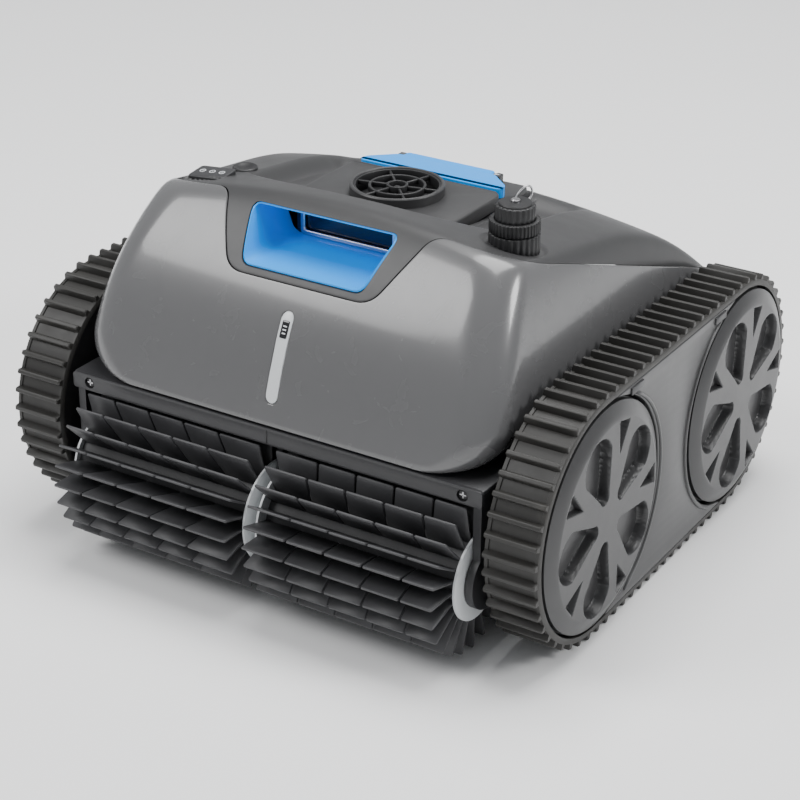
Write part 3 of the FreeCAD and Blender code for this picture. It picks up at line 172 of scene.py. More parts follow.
@dataclass(frozen=True)
class Finish:
    """One moulded, rubber or metal finish and the numbers that make it."""

    name: str
    colour: Colour
    marked: Colour
    roughness: float
    spread: float = 0.12
    grain_scale: float = 900.0
    grain_depth: float = 0.25
    bump: float = 0.0001
    marks: float = 0.25
    coat: float = 0.0
    coat_roughness: float = 0.08
    metallic: float = 0.0
    specular: float = 0.5
    # strength of a painted glow: the finish's colour sent out as light, though the part is no lamp
    painted_glow: float = 0.0

    def build(self, shared: bpy.types.NodeTree) -> bpy.types.Material:
        """Make the material.

        Args:
            shared: The moulded surface group.

        Returns:
            The finished material.
        """
        material = bpy.data.materials.new(self.name)
        material.use_nodes = True
        tree = material.node_tree
        shader = tree.nodes["Principled BSDF"]
        group = add_node(tree, "ShaderNodeGroup", node_tree=shared)
        values = {"Colour": (*self.colour, 1), "Marked Colour": (*self.marked, 1),
                  "Roughness": self.roughness,
                  "Roughness Spread": self.spread, "Grain Scale": self.grain_scale,
                  "Grain Depth": self.grain_depth, "Marks": self.marks}
        for label, setting in values.items():
            group.inputs[label].default_value = setting
        bump = add_node(tree, "ShaderNodeBump", {"Height": group.outputs["Height"], "Distance": self.bump,
                                                 "Strength": 1.0})
        tree.links.new(group.outputs["Colour"], shader.inputs["Base Color"])
        tree.links.new(group.outputs["Roughness"], shader.inputs["Roughness"])
        tree.links.new(bump.outputs["Normal"], shader.inputs["Normal"])
        shader.inputs["Metallic"].default_value = self.metallic
        shader.inputs["Coat Weight"].default_value = self.coat
        shader.inputs["Coat Roughness"].default_value = self.coat_roughness
        shader.inputs["Specular IOR Level"].default_value = self.specular
        # painted glow: the colour also shines as light, though the piece is no lamp
        if self.painted_glow:
            tree.links.new(group.outputs["Colour"], shader.inputs["Emission Color"])
            shader.inputs["Emission Strength"].default_value = self.painted_glow
        return material


FINISHES = (
    Finish("shell_gloss", (0.105, 0.105, 0.107), (0.122, 0.122, 0.124), 0.26, coat=0.55, coat_roughness=0.1,
           grain_depth=0.05, marks=0.05),
    Finish("deck_satin", (0.036, 0.036, 0.037), (0.05, 0.05, 0.051), 0.42, grain_scale=1400.0, marks=0.3),
    Finish("deck_shadow", (0.03, 0.03, 0.032), (0.045, 0.045, 0.047), 0.5, grain_scale=1400.0),
    Finish("cap_satin", (0.03, 0.03, 0.031), (0.044, 0.044, 0.045), 0.34, grain_scale=1100.0, marks=0.3),
    Finish("cover_satin", (0.05, 0.05, 0.051), (0.066, 0.066, 0.067), 0.34, grain_scale=1100.0),
    Finish("black_plastic", (0.012, 0.012, 0.013), (0.03, 0.03, 0.032), 0.45, marks=0.35),
    Finish("dark_plastic", (0.028, 0.028, 0.03), (0.05, 0.05, 0.052), 0.42, marks=0.3),
    Finish("track_rubber", (0.022, 0.021, 0.019), (0.06, 0.056, 0.05), 0.5, spread=0.25, grain_scale=700.0,
           grain_depth=0.5, marks=0.5),
    Finish("blade_rubber", (0.05, 0.05, 0.053), (0.085, 0.085, 0.088), 0.48, grain_scale=600.0, marks=0.4),
    Finish("core_grey", (0.09, 0.09, 0.092), (0.12, 0.12, 0.125), 0.4),
    # the blue finish carries a faint painted glow, so the blue parts shine though they are no lamp
    Finish("blue_gloss", (0.0, 0.3, 0.86), (0.0, 0.33, 0.9), 0.4, coat=0.2, grain_depth=0.05, marks=0.2,
           specular=0.35, painted_glow=0.12),
    Finish("pale_plastic", (0.62, 0.64, 0.65), (0.74, 0.76, 0.77), 0.35, marks=0.4),
    Finish("display_glass", (0.006, 0.006, 0.008), (0.02, 0.02, 0.024), 0.12, coat=0.6, grain_depth=0.0,
           marks=0.2),
    Finish("bright_trim", (0.75, 0.68, 0.66), (0.85, 0.8, 0.78), 0.16, metallic=1.0, grain_depth=0.05),
    Finish("bare_steel", (0.45, 0.45, 0.46), (0.55, 0.55, 0.56), 0.3, metallic=1.0, grain_depth=0.1),
    Finish("icon_white", (0.7, 0.72, 0.74), (0.8, 0.82, 0.84), 0.5, marks=0.5),
    Finish("motor_can", (0.2, 0.2, 0.21), (0.3, 0.3, 0.31), 0.35, metallic=0.8),
)


class Paint:
    """Every material of the machine, by name."""

    def __init__(self) -> None:
        """Build the shared group and all the finishes."""
        shared = moulded_group()
        self._made = {finish.name: finish.build(shared) for finish in FINISHES}

    def __getitem__(self, name: str) -> bpy.types.Material:
        """Give the material of that name."""
        return self._made[name]


# ---------------------------------------------------------------- meshes


def mesh_object(name: str, points: Array, faces: Sequence[Sequence[int]], material: bpy.types.Material,
                smooth: bool = True) -> bpy.types.Object:
    """Make a mesh object at the origin.

    Args:
        name: Piece name.
        points: One row of x, y, z for each vertex.
        faces: Vertex numbers of each face.
        material: Its only material.
        smooth: Whether its faces are shaded smooth.

    Returns:
        The new object, linked to the scene.
    """
    mesh = bpy.data.meshes.new(name)
    mesh.from_pydata([tuple(map(float, point)) for point in points], [],
                     [tuple(map(int, face)) for face in faces])
    mesh.polygons.foreach_set("use_smooth", [smooth] * len(mesh.polygons))
    mesh.materials.append(material)
    mesh.update()
    thing = bpy.data.objects.new(name, mesh)
    bpy.context.scene.collection.objects.link(thing)
    return thing


def object_from_bmesh(name: str, shape: bmesh.types.BMesh, material: bpy.types.Material,
                      smooth: bool = True) -> bpy.types.Object:
    """Make a mesh object from a bmesh, with its normals pointing outwards.

    Args:
        name: Piece name.
        shape: The bmesh, which is freed.
        material: Its only material.
        smooth: Whether its faces are shaded smooth.

    Returns:
        The new object.
    """
    bmesh.ops.recalc_face_normals(shape, faces=shape.faces)
    mesh = bpy.data.meshes.new(name)
    shape.to_mesh(mesh)
    shape.free()
    mesh.polygons.foreach_set("use_smooth", [smooth] * len(mesh.polygons))
    mesh.materials.append(material)
    thing = bpy.data.objects.new(name, mesh)
    bpy.context.scene.collection.objects.link(thing)
    return thing


def outward(thing: bpy.types.Object) -> bpy.types.Object:
    """Turn every face of a closed mesh outwards.

    Args:
        thing: The object.

    Returns:
        The same object.
    """
    shape = bmesh.new()
    shape.from_mesh(thing.data)
    bmesh.ops.recalc_face_normals(shape, faces=shape.faces)
    shape.to_mesh(thing.data)
    shape.free()
    return thing


def settle(thing: bpy.types.Object) -> bpy.types.Object:
    """Apply an object's modifiers, so that it is one plain mesh.

    Args:
        thing: The object.

    Returns:
        The same object.
    """
    graph = bpy.context.evaluated_depsgraph_get()
    mesh = bpy.data.meshes.new_from_object(thing.evaluated_get(graph), depsgraph=graph)
    mesh.name = thing.name
    thing.modifiers.clear()
    thing.data = mesh
    return thing


def sharpen(thing: bpy.types.Object, degrees: float = 35.0) -> bpy.types.Object:
    """Shade smooth, with edges past an angle left crisp.

    Args:
        thing: The object.
        degrees: Angle between faces past which their edge is crisp.

    Returns:
        The same object.
    """
    shape = bmesh.new()
    shape.from_mesh(thing.data)
    limit = math.radians(degrees)
    for edge in shape.edges:
        if len(edge.link_faces) == 2:
            edge.smooth = edge.calc_face_angle(0.0) < limit
    for face in shape.faces:
        face.smooth = True
    shape.to_mesh(thing.data)
    shape.free()
    return thing


def bevelled(thing: bpy.types.Object, width: float, segments: int = 2,
             degrees: float = 35.0) -> bpy.types.Object:
    """Round an object's crisp edges and settle it.

    Args:
        thing: The object.
        width: Width of the rounding.
        segments: Faces across the rounding.
        degrees: Angle past which an edge is rounded.

    Returns:
        The same object.
    """
    rounding = thing.modifiers.new("rounding", "BEVEL")
    rounding.width = width
    rounding.segments = segments
    rounding.limit_method = "ANGLE"
    rounding.angle_limit = math.radians(degrees)
    rounding.harden_normals = False
    return sharpen(settle(thing), 50.0)


def carve(thing: bpy.types.Object, *cutters: bpy.types.Object) -> bpy.types.Object:
    """Take cutters out of an object and delete them.

    Args:
        thing: The object that is cut.
        *cutters: Closed meshes.

    Returns:
        The same object, settled.
    """
    for cutter in cutters:
        removal = thing.modifiers.new("removal", "BOOLEAN")
        removal.object = cutter
        removal.operation = "DIFFERENCE"
        removal.solver = "EXACT"
    settle(thing)
    for cutter in cutters:
        bpy.data.objects.remove(cutter)
    return thing


def join(name: str, things: Sequence[bpy.types.Object]) -> bpy.types.Object:
    """Put several objects' meshes into one object, materials kept.

    Args:
        name: Name of the joined piece.
        things: Objects at the origin, which are used up.

    Returns:
        The joined object.
    """
    shape = bmesh.new()
    materials: list[bpy.types.Material] = []
    for thing in things:
        first = len(shape.faces)
        shape.from_mesh(thing.data)
        shape.faces.ensure_lookup_table()
        for face in shape.faces[first:]:
            material = thing.data.materials[face.material_index]
            if material not in materials:
                materials.append(material)
            face.material_index = materials.index(material)
    mesh = bpy.data.meshes.new(name)
    shape.to_mesh(mesh)
    shape.free()
    for material in materials:
        mesh.materials.append(material)
    for thing in things:
        bpy.data.objects.remove(thing)
    joined = bpy.data.objects.new(name, mesh)
    bpy.context.scene.collection.objects.link(joined)
    return joined


def grid_faces(rows: int, columns: int, wrap: bool = True) -> list[tuple[int, int, int, int]]:
    """Faces of a grid of vertices laid out row by row.

    Args:
        rows: Number of rows.
        columns: Vertices in a row.
        wrap: Whether the last column joins the first.

    Returns:
        Four vertex numbers for each face.
    """
    reach = columns if wrap else columns - 1
    faces = []
    for row in range(rows - 1):
        for column in range(reach):
            right = (column + 1) % columns
            faces.append((row * columns + column, row * columns + right,
                          (row + 1) * columns + right, (row + 1) * columns + column))
    return faces


def block(name: str, low: Sequence[float], high: Sequence[float], material: bpy.types.Material,
          rounding: float = 0.0008) -> bpy.types.Object:
    """Box with rounded edges.

    Args:
        name: Piece name.
        low: Lowest corner.
        high: Highest corner.
        material: Its material.
        rounding: Width of the edge rounding.

    Returns:
        The new object.
    """
    shape = bmesh.new()
    bmesh.ops.create_cube(shape, size=1.0)
    low, high = Vector(low), Vector(high)
    for vertex in shape.verts:
        vertex.co = Vector([low[i] + (vertex.co[i] + 0.5) * (high[i] - low[i]) for i in range(3)])
    thing = object_from_bmesh(name, shape, material)
    return bevelled(thing, rounding) if rounding else thing


def slab(name: str, outline: Sequence[tuple[float, float]], place: Callable[[float, float, float], Vector],
         thickness: float, material: bpy.types.Material, rounding: float = 0.0008,
         segments: int = 2) -> bpy.types.Object:
    """Flat plate of any outline with rounded edges.

    Args:
        name: Piece name.
        outline: Points of the outline in the plate's own plane.
        place: Turns two plane coordinates and a depth into a point of the frame.
        thickness: Thickness of the plate, along its depth.
        material: Its material.
        rounding: Width of the edge rounding.
        segments: Faces across the rounding.

    Returns:
        The new object.
    """
    shape = bmesh.new()
    near = [shape.verts.new(place(u, v, 0.0)) for u, v in outline]
    far = [shape.verts.new(place(u, v, thickness)) for u, v in outline]
    shape.faces.new(near)
    shape.faces.new(far[::-1])
    for index in range(len(outline)):
        following = (index + 1) % len(outline)
        shape.faces.new((near[index], far[index], far[following], near[following]))
    thing = object_from_bmesh(name, shape, material)
    return bevelled(thing, rounding, segments) if rounding else thing


def lathe(name: str, profile: Sequence[tuple[float, float]], centre: Vector, axis: str,
          material: bpy.types.Material, steps: int = 64, degrees: float = 35.0) -> bpy.types.Object:
    """Closed body turned about a row axis.

    Args:
        name: Piece name.
        profile: Pairs of distance from the axis and place along it; the loop closes on itself.
        centre: Point on the axis that the places are measured from.
        axis: "x", "y" or "z".
        material: Its material.
        steps: Faces round the axis.
        degrees: Angle past which an edge stays crisp.

    Returns:
        The new object.
    """
    angles = np.linspace(0.0, 2 * math.pi, steps, endpoint=False)
    rows = []
    for radius, along in profile:
        across, up = radius * np.cos(angles), radius * np.sin(angles)
        level = np.full(steps, along)
        order = {"x": (level, across, up), "y": (across, level, up), "z": (across, up, level)}[axis]
        rows.append(np.stack(order, -1) + np.array(centre))
    points = np.concatenate(rows + rows[:1])
    shape = bmesh.new()
    vertices = [shape.verts.new(point) for point in points]
    for face in grid_faces(len(profile) + 1, steps):
        shape.faces.new([vertices[number] for number in face])
    bmesh.ops.remove_doubles(shape, verts=shape.verts, dist=1e-6)
    bmesh.ops.dissolve_degenerate(shape, edges=shape.edges, dist=1e-7)
    return sharpen(object_from_bmesh(name, shape, material), degrees)


def wire(name: str, points: Sequence[Vector], radius: float, material: bpy.types.Material,
         closed: bool = False, steps: int = 10) -> bpy.types.Object:
    """Round bar along a smooth line, with closed ends.

    Args:
        name: Piece name.
        points: Points that the line passes.
        radius: Radius of the bar.
        material: Its material.
        closed: Whether the line closes on itself.
        steps: Resolution of the line between two points.

    Returns:
        The bar as a mesh object.
    """
    curve = bpy.data.curves.new(name, "CURVE")
    curve.dimensions = "3D"
    curve.bevel_depth = radius
    curve.bevel_resolution = 3
    curve.resolution_u = steps
    curve.use_fill_caps = not closed
    spline = curve.splines.new("NURBS")
    spline.points.add(len(points) - 1)
    for point, place in zip(spline.points, points):
        point.co = (*place, 1.0)
    spline.order_u = 3
    spline.use_endpoint_u = not closed
    spline.use_cyclic_u = closed
    thing = bpy.data.objects.new(name, curve)
    bpy.context.scene.collection.objects.link(thing)
    graph = bpy.context.evaluated_depsgraph_get()
    mesh = bpy.data.meshes.new_from_object(thing.evaluated_get(graph), depsgraph=graph)
    bpy.data.objects.remove(thing)
    shape = bmesh.new()
    shape.from_mesh(mesh)
    bmesh.ops.remove_doubles(shape, verts=shape.verts, dist=1e-6)
    return object_from_bmesh(name, shape, material)


def rounded_outline(half_u: float, low_v: float, high_v: float, radius: float,
                    steps: int = 6) -> list[tuple[float, float]]:
    """Outline of a rectangle with round corners, symmetric about zero in its first coordinate.

    Args:
        half_u: Half of the width.
        low_v: Lower edge.
        high_v: Upper edge.
        radius: Corner radius.
        steps: Segments in a corner.

    Returns:
        Points of the outline, counter-clockwise.
    """
    outline = []
    corners = ((half_u - radius, low_v + radius, -90), (half_u - radius, high_v - radius, 0),
               (-half_u + radius, high_v - radius, 90), (-half_u + radius, low_v + radius, 180))
    for centre_u, centre_v, start in corners:
        for step in range(steps + 1):
            angle = math.radians(start + 90 * step / steps)
            outline.append((centre_u + radius * math.cos(angle), centre_v + radius * math.sin(angle)))
    return outline


# ---------------------------------------------------------------- repeats


class PathRepeat:
    """Geometry Nodes tree that stands copies of a template along a closed path square to X."""

    def __init__(self) -> None:
        """Build the tree."""
        tree = bpy.data.node_groups.new("repeat_round", "GeometryNodeTree")
        face = tree.interface
        face.new_socket("Path", in_out="INPUT", socket_type="NodeSocketGeometry")
        self.template = face.new_socket("Template", in_out="INPUT", socket_type="NodeSocketObject").identifier
        self.count = face.new_socket("Count", in_out="INPUT", socket_type="NodeSocketInt").identifier
        self.finish = face.new_socket("Finish", in_out="INPUT", socket_type="NodeSocketMaterial").identifier
        face.new_socket("Geometry", in_out="OUTPUT", socket_type="NodeSocketGeometry")
        given = tree.nodes.new("NodeGroupInput").outputs
        line = add_node(tree, "GeometryNodeMeshToCurve", {"Mesh": given["Path"]})
        spots = add_node(tree, "GeometryNodeCurveToPoints",
                         {"Curve": line.outputs["Curve"], "Count": given["Count"]}, mode="COUNT")
        along = add_node(tree, "ShaderNodeSeparateXYZ", {"Vector": spots.outputs["Tangent"]}).outputs
        angle = add_node(tree, "ShaderNodeMath", {0: along["Z"], 1: along["Y"]}, operation="ARCTAN2")
        euler = add_node(tree, "ShaderNodeCombineXYZ", {"X": angle.outputs[0]})
        shape = add_node(tree, "GeometryNodeObjectInfo", {"Object": given["Template"]},
                         transform_space="ORIGINAL")
        turned = add_node(tree, "FunctionNodeEulerToRotation", {"Euler": euler.outputs[0]})
        copies = add_node(tree, "GeometryNodeInstanceOnPoints",
                          {"Points": spots.outputs["Points"], "Instance": shape.outputs["Geometry"],
                           "Rotation": turned.outputs["Rotation"]})
        real = add_node(tree, "GeometryNodeRealizeInstances", {"Geometry": copies.outputs["Instances"]})
        dressed = add_node(tree, "GeometryNodeSetMaterial", {"Geometry": real.outputs["Geometry"],
                                                             "Material": given["Finish"]})
        end = tree.nodes.new("NodeGroupOutput")
        tree.links.new(dressed.outputs["Geometry"], end.inputs[0])
        self._tree = tree

    def spread(self, name: str, path: Array, template: bpy.types.Object, count: int,
               material: bpy.types.Material) -> bpy.types.Object:
        """Stand copies evenly along a closed path.

        Args:
            name: Name of the piece made.
            path: Points of the closed path.
            template: Object that is copied; its own Y follows the path.
            count: Number of copies.
            material: Finish of the copies.

        Returns:
            One plain mesh object with every copy.
        """
        mesh = bpy.data.meshes.new(name)
        edges = [(number, (number + 1) % len(path)) for number in range(len(path))]
        mesh.from_pydata([tuple(map(float, point)) for point in path], edges, [])
        thing = bpy.data.objects.new(name, mesh)
        bpy.context.scene.collection.objects.link(thing)
        nodes = thing.modifiers.new("repeat", "NODES")
        nodes.node_group = self._tree
        nodes[self.template] = template
        nodes[self.count] = count
        nodes[self.finish] = material
        return settle(thing)


# ---------------------------------------------------------------- the hull's form


@dataclass(frozen=True)
class Datum:
    """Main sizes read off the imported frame; a place is held in mm from midway between the axles."""

    middle: float
    base: float
    axle: float
    half: float
    front: float
    back: float
    bottom: float
    top: float
    deck_half: float
    deck_front: float
    deck_back: float

    @classmethod
    def read(cls) -> "Datum":
        """Measure the shell, the deck and the tracks of the frame.

        Returns:
            The sizes that every piece is placed by.
        """
        belt_low, belt_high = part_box("right_track_belt")
        wheel_low, wheel_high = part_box("right_front_cap")
        middle = (belt_low.y + belt_high.y) / 2
        shell_low, shell_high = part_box("body_shell")
        deck_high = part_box("top_deck")[1]
        return cls(
            middle=middle, base=middle / MM - (wheel_low.y + wheel_high.y) / 2 / MM,
            axle=(wheel_low.z + wheel_high.z) / 2 / MM,
            half=shell_high.x / MM, front=(shell_low.y - middle) / MM, back=(shell_high.y - middle) / MM,
            bottom=shell_low.z / MM, top=deck_high.z / MM, deck_half=deck_high.x / MM,
            deck_front=(shell_low.y - middle) / MM + DECK_SETBACK, deck_back=(deck_high.y - middle) / MM)

    def frame(self, points: Array) -> Array:
        """Turn places in mm from between the axles into places in the row frame.

        Args:
            points: Rows of x, y, z in mm.

        Returns:
            The same places in metres.
        """
        return np.asarray(points, float) * MM + np.array((0.0, self.middle, 0.0))

    def at(self, x: float, y: float, z: float) -> Vector:
        """One place in mm as a vector in the row frame."""
        return Vector((x * MM, y * MM + self.middle, z * MM))


class Hull:
    """Outer form of the body: leaning walls under a roof that falls to the tail."""

    CORNER = 28.0
    FOOT = 30.0
    SIDE_LEAN = 30.0
    FRONT_LEAN = 89.0
    CROWN = 12.0
    TAIL = 116.0
    SOFTNESS = 3.0
    ROOF_SLOPE = 0.93
    CORE_BACK = 25.0
    CORE_LIFT = 30.0
    START_DROP = 20.0
    LOOK_UP = 200.0
    HALVINGS = 34
    LEVELS = (0.0, 0.12, 0.34, 0.55, 0.78, 1.04)
    SIDE_SHARES = (0.0, 0.0, 0.1, 0.27, 0.58, 1.0)
    FRONT_SHARES = (0.0, 0.03, 0.17, 0.32, 0.56, 1.0)
    ROOF_PLACES = (-0.1, 0.03, 0.16, 0.3, 0.45, 0.62, 0.78, 0.9, 1.02)
    ROOF_SHARES = (0.0, 0.0, 0.06, 0.115, 0.17, 0.33, 0.56, 0.8, 1.02)

    def __init__(self, datum: Datum) -> None:
        """Fit the smooth curves of the walls and the roof.

        Args:
            datum: Sizes of the frame.
        """
        self.datum = datum
        middle = (datum.deck_front + datum.deck_back) / 2
        self.core = np.array((0.0, middle - self.CORE_BACK, datum.bottom + self.CORE_LIFT))
        self._side = np.polynomial.Polynomial.fit(self.LEVELS, self.SIDE_SHARES, 3)
        self._front = np.polynomial.Polynomial.fit(self.LEVELS, self.FRONT_SHARES, 3)
        self._roof = np.polynomial.Polynomial.fit(self.ROOF_PLACES, self.ROOF_SHARES, 6)

    def roof(self, y: Array) -> Array:
        """Height of the roof's ridge at a place along the body."""
        span = self.datum.back - self.datum.deck_front
        share = np.clip((y - self.datum.deck_front) / span, 0.0, 1.05)
        return self.datum.top - self.TAIL * np.maximum(self._roof(share) - self._roof(0.0), 0.0)

    def field(self, points: Array) -> Array:
        """Signed measure of how far points are outside the hull.

        Args:
            points: Rows of x, y, z in mm.

        Returns:
            One value for each row, below zero inside.
        """
        datum = self.datum
        x, y, z = points[..., 0], points[..., 1], points[..., 2]
        up = np.clip((z - datum.bottom) / (datum.top - datum.bottom), 0.0, 1.04)
        side = datum.half - self.SIDE_LEAN * np.maximum(self._side(up), 0.0)
        low = np.clip(self.FOOT - (z - datum.bottom), 0.0, self.FOOT)
        side = side - (self.FOOT - np.sqrt(np.maximum(self.FOOT ** 2 - low ** 2, 0.0)))
        front = datum.front + self.FRONT_LEAN * np.maximum(self._front(up), 0.0)
        middle, reach = (front + datum.back) / 2, (datum.back - front) / 2
        wall = box_distance(x, y, (0.0, middle), (side, reach), self.CORNER)
        arch = self.CROWN * np.clip(np.abs(x) / datum.deck_half, 0.0, 1.3) ** 2
        roof = (z - self.roof(y) + arch) * self.ROOF_SLOPE
        return self.SOFTNESS * np.logaddexp(wall / self.SOFTNESS, roof / self.SOFTNESS)

    def cast(self, start: Array, direction: Array, reach: float = 420.0) -> Array:
        """Where rays from inside leave the hull.

        Args:
            start: Places inside, in mm.
            direction: Unit directions.
            reach: Longest way tried.

        Returns:
            Places on the surface.
        """
        low = np.zeros(direction.shape[:-1])
        high = np.full(direction.shape[:-1], reach)
        for _ in range(self.HALVINGS):
            middle = (low + high) / 2
            inside = self.field(start + direction * middle[..., None]) < 0
            low, high = np.where(inside, middle, low), np.where(inside, high, middle)
        return start + direction * low[..., None]

    def height(self, x: Array, y: Array) -> Array:
        """Height of the upper surface over places in plan.

        Args:
            x: Places across.
            y: Places along.

        Returns:
            Heights in mm.
        """
        x, y = np.broadcast_arrays(np.asarray(x, float), np.asarray(y, float))
        start = np.stack((x, y, np.full(x.shape, self.datum.bottom - self.START_DROP)), -1)
        up = np.zeros(start.shape)
        up[..., 2] = 1.0
        return self.cast(start, up, self.LOOK_UP)[..., 2]

    def face(self, x: Array, z: Array) -> Array:
        """Place along the body of the front face, at a place across and a height.

        Args:
            x: Places across.
            z: Heights.

        Returns:
            Places along, in mm.
        """
        x, z = np.broadcast_arrays(np.asarray(x, float), np.asarray(z, float))
        start = np.stack((x, np.full(x.shape, self.core[1]), z), -1)
        ahead = np.zeros(start.shape)
        ahead[..., 1] = -1.0
        return self.cast(start, ahead)[..., 1]


# ---------------------------------------------------------------- shell and deck


def rounded_path(corners: Sequence[tuple[float, float, float]], radii: Sequence[float],
                 steps: int = 8) -> Array:
    """Closed line through corners, each rounded by its own radius.

    Args:
        corners: Corner places in mm.
        radii: How far before and after each corner its rounding starts.
        steps: Points in a rounding.

    Returns:
        Points of the line, in order.
    """
    places = [np.array(corner, float) for corner in corners]
    line = []
    for number, (corner, radius) in enumerate(zip(places, radii)):
        before, after = places[number - 1], places[(number + 1) % len(places)]
        start = corner + (before - corner) / np.linalg.norm(before - corner) * radius
        end = corner + (after - corner) / np.linalg.norm(after - corner) * radius
        for step in range(steps + 1):
            share = step / steps
            line.append((1 - share) ** 2 * start + 2 * share * (1 - share) * corner + share ** 2 * end)
    return np.array(line)


def resample(line: Array, count: int, closed: bool = True) -> Array:
    """Points spread evenly along a line.

    Args:
        line: Points of the line.
        count: Number of points wanted.
        closed: Whether the line closes on itself.

    Returns:
        The new points.
    """
    if closed:
        line = np.concatenate((line, line[:1]))
    reach = np.concatenate(([0.0], np.cumsum(np.linalg.norm(np.diff(line, axis=0), axis=1))))
    spots = np.linspace(0.0, reach[-1], count, endpoint=not closed)
    return np.stack([np.interp(spots, reach, line[:, axis]) for axis in range(line.shape[1])], -1)


def bump(distance: Array, width: float) -> Array:
    """Smooth step from one inside to zero at a distance outside."""
    share = np.clip(1.0 - distance / width, 0.0, 1.0)
    return share * share * (3 - 2 * share)


def box_distance(x: Array, y: Array, centre: Sequence[float | Array], half: Sequence[float | Array],
                 corner: float) -> Array:
    """Signed distance in plan to a rectangle with round corners.

    Args:
        x: Places across.
        y: Places along.
        centre: Middle of the rectangle.
        half: Half sizes of the rectangle.
        corner: Corner radius.

    Returns:
        Distances, below zero inside.
    """
    across = np.abs(x - centre[0]) - half[0] + corner
    along = np.abs(y - centre[1]) - half[1] + corner
    outside = np.hypot(np.maximum(across, 0), np.maximum(along, 0))
    return outside + np.minimum(np.maximum(across, along), 0) - corner


class BodyShell:
    """Glossy outer shell with its parting line, light bar and display."""

    COLUMNS = 480
    ROWS = 72
    WALL = 2.6
    TAB = ((57.0, 224.0), (82.0, 257.0))
    TAB_CORNERS = (12.0, 12.0)
    DECK_CORNER = 40.0
    LIGHT = (4.7, 150.0, 209.0)
    DISPLAY = (2.9, 192.5, 203.5)
    MARKS = (195.2, 197.4, 199.6)
    SEAM = 0.7
    LIGHT_GAP = 0.35
    FOOT_LIFT = 0.8
    BACK_CORNER = 30.0
    ROW_BIAS = 0.09

    def __init__(self, hull: Hull, paint: Paint) -> None:
        """Keep the form and the finishes.

        Args:
            hull: Outer form of the body.
            paint: Every material.
        """
        self.hull = hull
        self.datum = hull.datum
        self.paint = paint

    def rim(self, gap: float) -> Array:
        """Parting line between shell and deck.

        Args:
            gap: How far outside the deck's own outline the line runs, in mm.

        Returns:
            Points on the hull, evenly spread, starting in front.
        """
        datum, hull = self.datum, self.hull
        (low_x, low_z), (high_x, high_z) = self.TAB
        side = datum.deck_half + gap
        front, back = datum.deck_front - gap, datum.deck_back + gap
        low = np.array((low_x + gap, low_z - gap))
        high = np.array((high_x + gap * 1.2, high_z + 2.0))
        height_front = float(hull.height(high[0], front))
        right = [(low[0], float(hull.face(low[0], low[1])), low[1]),
                 (high[0], front, height_front),
                 (side, front, float(hull.height(side - 6.0, front + 6.0))),
                 (side, back, float(hull.height(side, back)))]
        corners = right + [(-x, y, z) for x, y, z in reversed(right)]
        radii = [*self.TAB_CORNERS, self.DECK_CORNER, self.BACK_CORNER, self.BACK_CORNER, self.DECK_CORNER,
                 *reversed(self.TAB_CORNERS)]
        line = resample(rounded_path(corners, radii), self.COLUMNS)
        ways = line - hull.core
        return hull.cast(np.broadcast_to(hull.core, line.shape), ways / np.linalg.norm(ways, axis=1)[:, None])

    def foot(self, rim: Array) -> Array:
        """Lower edge of the shell, one point under each point of the rim.

        Args:
            rim: Parting line.

        Returns:
            Points on the hull just above its bottom.
        """
        hull = self.hull
        turn = np.arctan2(rim[:, 1] - hull.core[1], rim[:, 0])
        start = np.broadcast_to(np.array((0.0, hull.core[1], self.datum.bottom + self.FOOT_LIFT)), rim.shape)
        return hull.cast(start, np.stack((np.cos(turn), np.sin(turn), np.zeros(len(turn))), -1))

    def skin(self) -> bpy.types.Object:
        """Build the shell between its foot and the parting line, one wall thick.

        Returns:
            The shell as a closed mesh.
        """
        hull = self.hull
        rim = self.rim(self.SEAM)
        foot = self.foot(rim)
        shares = np.linspace(0.0, 1.0, self.ROWS)
        shares = shares + self.ROW_BIAS * np.sin(2 * math.pi * shares) / (2 * math.pi)
        first, last = foot - hull.core, rim - hull.core
        first /= np.linalg.norm(first, axis=1)[:, None]
        last /= np.linalg.norm(last, axis=1)[:, None]
        rows = []
        for share in shares:
            way = first * (1 - share) + last * share
            way /= np.linalg.norm(way, axis=1)[:, None]
            rows.append(hull.cast(np.broadcast_to(hull.core, way.shape), way))
        points = self.datum.frame(np.concatenate(rows))
        shell = mesh_object("shell_skin", points, grid_faces(self.ROWS, self.COLUMNS),
                            self.paint["shell_gloss"])
        return thicken(shell, self.WALL * MM, 0.5 * MM)

    def patch(self, name: str, outline: Sequence[tuple[float, float]], outer: float, inner: float,
              material: bpy.types.Material, edge: float) -> bpy.types.Object:
        """Raised or sunk plate that follows the front face.

        Args:
            name: Piece name.
            outline: Closed outline across and up.
            outer: Outer face's distance outside the hull.
            inner: Inner face's distance outside the hull.
            material: Its material.
            edge: Width of the rounded edge.

        Returns:
            The plate.
        """
        loop = resample(np.array(outline), 72)
        middle = loop.mean(axis=0)
        rings = [middle + (loop - middle) * share for share in (1.0, 0.8, 0.5, 0.2)]
        rings[0] = loop
        reach = np.maximum(np.linalg.norm(loop - middle, axis=1), 1e-6)
        inset = middle + (loop - middle) * (1 - edge / reach)[:, None]
        outer_rings = [(loop, outer - edge), (inset, outer)] + [(ring * 0.97 + middle * 0.03, outer)
                                                                for ring in rings[1:]]
        points = []
        for ring, depth in [(loop, inner), *outer_rings]:
            face = self.hull.face(ring[:, 0], ring[:, 1])
            points.append(np.stack((ring[:, 0], face - depth, ring[:, 1]), -1))
        rows = len(points)
        flat = np.concatenate(points)
        faces = grid_faces(rows, len(loop))
        faces.append(tuple(range((rows - 1) * len(loop), rows * len(loop))))
        faces.append(tuple(reversed(range(len(loop)))))
        thing = mesh_object(name, self.datum.frame(flat), faces, material)
        return sharpen(outward(thing), 40.0)

